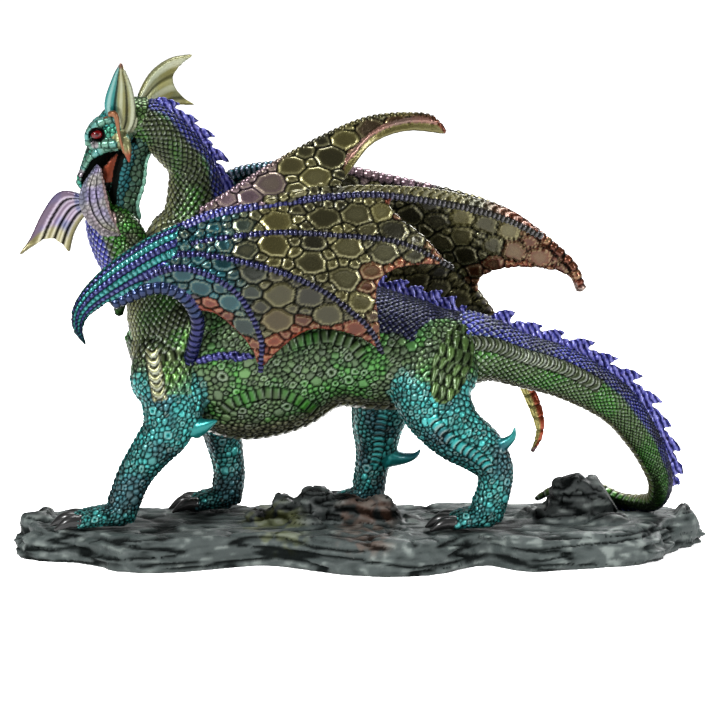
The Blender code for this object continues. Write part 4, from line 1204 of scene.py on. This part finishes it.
def buildCrest():
    dice = random.Random(4)
    bm = bmesh.new()
    paths = {"neck": Limb(hide["neck"], way=-1), "torso": Limb(hide["torso"]),
             "tail": Limb(tail["stations"][1:])}
    for name, first, last, count, height in crest["rows"]:
        limb = paths[name]
        pitch = (last - first) * limb.length / count
        for number in range(count):
            for extra, size in ((0.0, 1.0), (0.5, 0.62)):
                share = first + (last - first) * (number + 0.5 + extra) / count
                if share > last:
                    continue
                row, tangent, _, back = limb.at(share)
                lean = tangent * (1 if name != "neck" else -1)
                reach = height * (0.78 + 0.22 * math.sin(math.pi * (number + 0.5) / count)) * size
                reach *= dice.uniform(0.78, 1.12)
                foot = row[:3] + back * (row[4] - 2.2)
                waist = foot + back * (0.5 * reach + 2.0) + lean * 0.35 * reach
                tip = foot + back * (reach + 2.0) + lean * (1.15 * reach)
                wide = min(1.9, row[3] * 0.5)
                addLimb(bm, [(*foot, wide, 0.60 * pitch * size), (*waist, wide * 0.55, 0.34 * pitch * size),
                             (*tip, 0.35, 0.5)], around=12)
    for a, b in zip(crest["flank"][:-1], crest["flank"][1:]):
        addLimb(bm, [(a[0] - 2, a[1], a[2] - 1.2, 1.4, 1.3), ((a[0] + b[0]) / 2, a[1] - 0.8, a[2] + 0.4, 2.0, 1.9),
                     (b[0] + 1.5, b[1] + 0.4, b[2] + 0.8, 0.6, 0.5)], around=10)
    piece, co, normal = fuse("crest", bm, crest["grain"], crest["smooth"])
    flow = noiseAt(co * np.array([1.0, 1.0, 0.4]), 0.9, 1.0)
    streak = np.sin(co[:, 0] * 2.4 + co[:, 2] * 1.1 + 2.5 * flow)
    base = mixRows(colours["blue"], colours["violet"], smoothStep(flow, -0.1, 0.5) * 0.5)
    slit = (co[:, 0] > -73) & (co[:, 0] < -43) & (co[:, 2] < 82) & (co[:, 1] < -18)
    base = base * np.where(slit, 0.6, 0.9)[:, None]
    tone, clear = brush(base, streak + 1.0, 0.8, 0.85)
    tone = lighten(tone, np.where(slit, 0.05, 0.14) * smoothStep(streak, 0.4, 1.0), (0.55, 0.55, 0.95))
    co = co + normal * (0.16 * streak - 0.1)[:, None]
    finishPiece(piece, co, tone, clear, paints["crest"])


def buildClaws():
    bm = bmesh.new()
    for foot in hide["feet"]:
        for x, y, out, toe in toeSpots(*foot):
            addLimb(bm, Limb([(x - toe + 2, y + 1.3 * out, 4.2, 3.0), (x - toe - 2, y + 1.45 * out, 4.3, 2.9),
                              (x - toe - 5, y + 1.65 * out, 3.2, 2.2), (x - toe - 9, y + 1.8 * out, 0.9, 0.5)],
                             perSpan=5), around=16)
    bmesh.ops.recalc_face_normals(bm, faces=bm.faces)
    piece = newPiece("claws", bm)
    co = np.array([v.co for v in piece.data.vertices])
    co[:, 2] = np.maximum(co[:, 2], 0)
    finishPiece(piece, co, np.broadcast_to(colours["claw"], co.shape), np.ones(len(co)), paints["claw"])


buildCrest()
buildClaws()


plinth = {
    "length": 304, "depth": 100, "height": 14, "shift": -8, "grain": 1.08, "smooth": 1, "corners": 26,
    "dark": srgb(8, 9, 9), "grey": srgb(44, 50, 49), "pale": srgb(124, 130, 126), "root": srgb(72, 46, 32),
    "lichen": srgb(66, 68, 24),
    "outline": [(-0.500, 0.10), (-0.487, -0.10), (-0.449, -0.17), (-0.403, -0.20), (-0.345, -0.38), (-0.273, -0.41),
                (-0.188, -0.30), (-0.148, -0.255), (-0.110, -0.28), (-0.032, -0.44), (0.046, -0.50), (0.109, -0.44),
                (0.151, -0.31), (0.183, -0.24), (0.214, -0.32), (0.248, -0.39), (0.332, -0.31), (0.418, -0.20),
                (0.455, 0.06), (0.490, 0.20), (0.500, 0.33), (0.465, 0.44), (0.38, 0.50), (0.22, 0.47), (0.05, 0.44),
                (-0.12, 0.47), (-0.27, 0.42), (-0.40, 0.36), (-0.47, 0.28)],
    "layers": [(0.0, 0.985), (0.10, 0.99), (0.32, 1.0), (0.40, 0.975), (0.66, 0.985), (0.74, 0.955), (0.97, 0.95),
               (1.06, 0.90), (0.96, 0.78), (1.02, 0.60), (0.97, 0.35)],
    "rocks": [(-44, -6, -2, 9, 10, 11, 3), (-33, -4, 1, 10, 11, 13, 8), (-20, -2, 3, 11, 12, 14, 5),
              (-6, -5, 2, 12, 11, 13, 11), (8, -8, 0, 12, 10, 13, 2), (-24, -16, -3, 12, 8, 9, 17),
              (22, -2, -4, 9, 8, 8, 21), (33, 8, -3, 10, 8, 7, 26), (74, 8, -3, 8, 9, 10, 31),
              (93, 4, 8, 13, 13, 16, 7), (104, 7, 9, 12, 11, 11, 13), (88, 2, -2, 18, 15, 11, 19),
              (110, -8, -4, 14, 10, 9, 23), (141, 16, -5, 11, 13, 11, 29), (-141, 4, -5, 11, 12, 11, 37)],
    "ground": [(-116, -19, 24, 13), (-66, 20, 20, 12), (46, -24, 24, 13), (-3, 23, 17, 12), (127, 18, 12, 19),
               (104, 34, 22, 9)]}


def addSlab(bm):
    outline = smoothPath([(*p, 0) for p in plinth["outline"]] + [(*plinth["outline"][0], 0)], 4)[:-1]
    count, layers = len(outline), plinth["layers"]
    new = bmesh.ops.create_uvsphere(bm, u_segments=count, v_segments=len(layers) + 1, radius=1)["verts"]
    for v in new:
        ring = round(math.acos(max(-1, min(1, v.co.z))) / math.pi * (len(layers) + 1))
        number = min(max(ring - 1, 0), len(layers) - 1)
        k = round((math.atan2(v.co.y, v.co.x) / (2 * math.pi)) * count) % count
        height, width = layers[number]
        wave = 0.012 * math.sin(2.1 * k + 1.7 * number) + 0.010 * math.sin(0.9 * k - 2.3 * number)
        rise = 0.05 * math.sin(1.3 * k + 0.8 * number) if 0 < number else 0
        reach = width + wave if 0 < ring < len(layers) + 1 else 0
        x = outline[k][0] * reach
        y = 0.02 + (outline[k][1] - 0.02) * reach
        v.co = Vector((x * plinth["length"], y * plinth["depth"] + plinth["shift"],
                       (height + rise) * plinth["height"] - soleLevel / unit))


def addRock(bm, x, y, z, sizeX, sizeY, sizeZ, seed):
    dice = random.Random(seed)
    corners = []
    for k in range(plinth["corners"]):
        up = 1 - 2 * (k + 0.5) / plinth["corners"]
        angle = 2.399963 * k          # the golden angle, which keeps the corners apart
        flat = math.sqrt(1 - up * up)
        reach = dice.uniform(0.72, 1.08)
        spot = Vector((flat * math.cos(angle) * sizeX, flat * math.sin(angle) * sizeY, up * sizeZ)) * reach
        corners.append(bm.verts.new(Vector((x, y, z + plinth["height"] - soleLevel / unit)) + spot))
    hull = bmesh.ops.convex_hull(bm, input=corners)
    inner = dict.fromkeys(hull["geom_interior"] + hull["geom_unused"])
    bmesh.ops.delete(bm, geom=[v for v in inner if isinstance(v, bmesh.types.BMVert)], context="VERTS")


def buildPlinth():
    bm = bmesh.new()
    addSlab(bm)
    for rock in plinth["rocks"]:
        addRock(bm, *rock)
    piece, co, normal = fuse("rockPlinth", bm, plinth["grain"], plinth["smooth"])
    bottom = -soleLevel / unit
    x, y, z = co.T
    strata = noiseAt(co * np.array([0.022, 0.022, 0.26]), 1.0, 4.0)
    fine = noiseAt(co * np.array([0.09, 0.09, 0.5]), 1.0, 8.0)
    crag = noiseAt(co, 0.22, 6.0)
    layered = np.abs(strata)
    height = 1.5 * (smoothStep(layered, 0.0, 0.16) - 0.8) + 0.9 * fine + 0.55 * crag
    top = smoothStep(normal[:, 2], 0.5, 0.9)
    swirl = noiseAt(co * np.array([0.035, 0.11, 0.1]), 1.0, 12.0)
    height = height * (1 - 0.35 * top) + top * (0.95 * (smoothStep(np.abs(swirl), 0, 0.16) - 0.8))
    crack = np.abs(noiseAt(co, 0.15, 21.0))
    height = height - 1.3 * smoothStep(z, 0.5, 3.0) * smoothStep(crack, 0.085, 0.01)
    height = np.minimum(height, 0.35)
    lift = smoothStep(z - bottom, 0.4, 2.0)
    co = co + normal * (height * lift)[:, None]
    x, y, z = co.T
    limit = np.full(len(co), 99.0)
    for gx, gy, halfX, halfY in plinth["ground"]:
        outX, outY = np.maximum(np.abs(x - gx) - halfX, 0), np.maximum(np.abs(y - gy) - halfY, 0)
        limit = np.minimum(limit, -0.3 + 1.6 * np.hypot(outX, outY))
    co[:, 2] = np.where(z - bottom < 0.6, bottom, np.minimum(z, limit))
    ridge = smoothStep(layered, 0.10, 0.22) * smoothStep(fine, -0.15, 0.25)
    tone = mixRows(plinth["dark"], plinth["grey"], 0.25 + 0.75 * smoothStep(height, -0.9, 0.3))
    stone = smoothStep(z, 0.5, 3.0)
    tone = tone * (1 - 0.62 * stone[:, None])
    tone = mixRows(tone, plinth["pale"], 0.42 * ridge * smoothStep(crag, -0.1, 0.35) * (1 - 0.4 * stone))
    shade = (0.35 + 0.65 * smoothStep(height, -0.9, 0.3))[:, None]
    warm = smoothStep(np.hypot((x - 2) / 17, (z - 4) / 12), 1.0, 0.5) * smoothStep(y, 6, -2)
    tone = mixRows(tone, plinth["root"] * shade, 0.45 * warm * smoothStep(crag, -0.2, 0.1))
    moss = smoothStep(np.hypot((x + 38) / 18, z / 12), 1.0, 0.5) * smoothStep(crag + swirl, -0.2, 0.15)
    tone = mixRows(tone, plinth["lichen"] * shade, 0.45 * moss)
    clear = smoothStep(height, -0.8, 0.2)
    finishPiece(piece, co, tone, clear, paints["rock"], ("rock_plinth",))


buildPlinth()


stage = {
    "ambient": 0.42, "floorGlow": 0.62, "floorSize": 60.0, "lit": (0, 0, 0.1),
    "lights": [("keyBox", (-0.8, -1.1, 0.9), 0.4, 46), ("fillBox", (1.1, -1.0, 0.5), 0.4, 18),
               ("topBox", (0.1, 0.2, 1.4), 0.6, 30), ("rimBox", (0.6, 1.2, 0.8), 0.7, 22)],
    "target": (-0.0004, 0, 0.085), "distance": 2.0, "elevation": 9, "lens": 229}


def buildStage():
    bm = bmesh.new()
    bmesh.ops.create_grid(bm, x_segments=1, y_segments=1, size=stage["floorSize"] / 2)
    floor = newPiece("floor", bm)
    floor.data.materials.append(
        Shader(bpy.data.materials.new("floorPaint"), "Principled BSDF",
               {"Base Color": (0.9, 0.9, 0.9, 1), "Roughness": 0.7, "Emission Color": (1, 1, 1, 1),
                "Emission Strength": stage["floorGlow"]}).owner)
    for name, place, size, power in stage["lights"]:
        lamp = bpy.data.lights.new(name, "AREA")
        lamp.energy = power
        lamp.size = size
        light = newObject(name, lamp)
        light.location = place
        light.rotation_euler = (Vector(stage["lit"]) - Vector(place)).to_track_quat("-Z", "Y").to_euler()
    # white where the camera sees it, dimmer where it lights the figure
    world = Shader(bpy.data.worlds.new("studio"), "Background", {"Color": (1, 1, 1, 1)})
    seen = world.node("ShaderNodeLightPath", {}, {})
    world.feed(Strength=world.node("ShaderNodeMapRange", {},
                                   {"Value": seen, "To Min": stage["ambient"], "To Max": 1.0}))
    bpy.context.scene.world = world.owner
    bpy.context.scene.view_settings.view_transform = "Standard"


def placeCamera():
    lens = bpy.data.cameras.new("camera")
    lens.sensor_width = 36
    lens.lens = stage["lens"]
    lens.clip_end = 10
    camera = newObject("camera", lens)
    tilt = math.radians(stage["elevation"])
    camera.location = Vector(stage["target"]) + Vector((0, -math.cos(tilt), math.sin(tilt))) * stage["distance"]
    camera.rotation_euler = (math.radians(90) - tilt, 0, 0)
    bpy.context.scene.camera = camera


buildStage()
placeCamera()

print("stage, lights and camera ready")
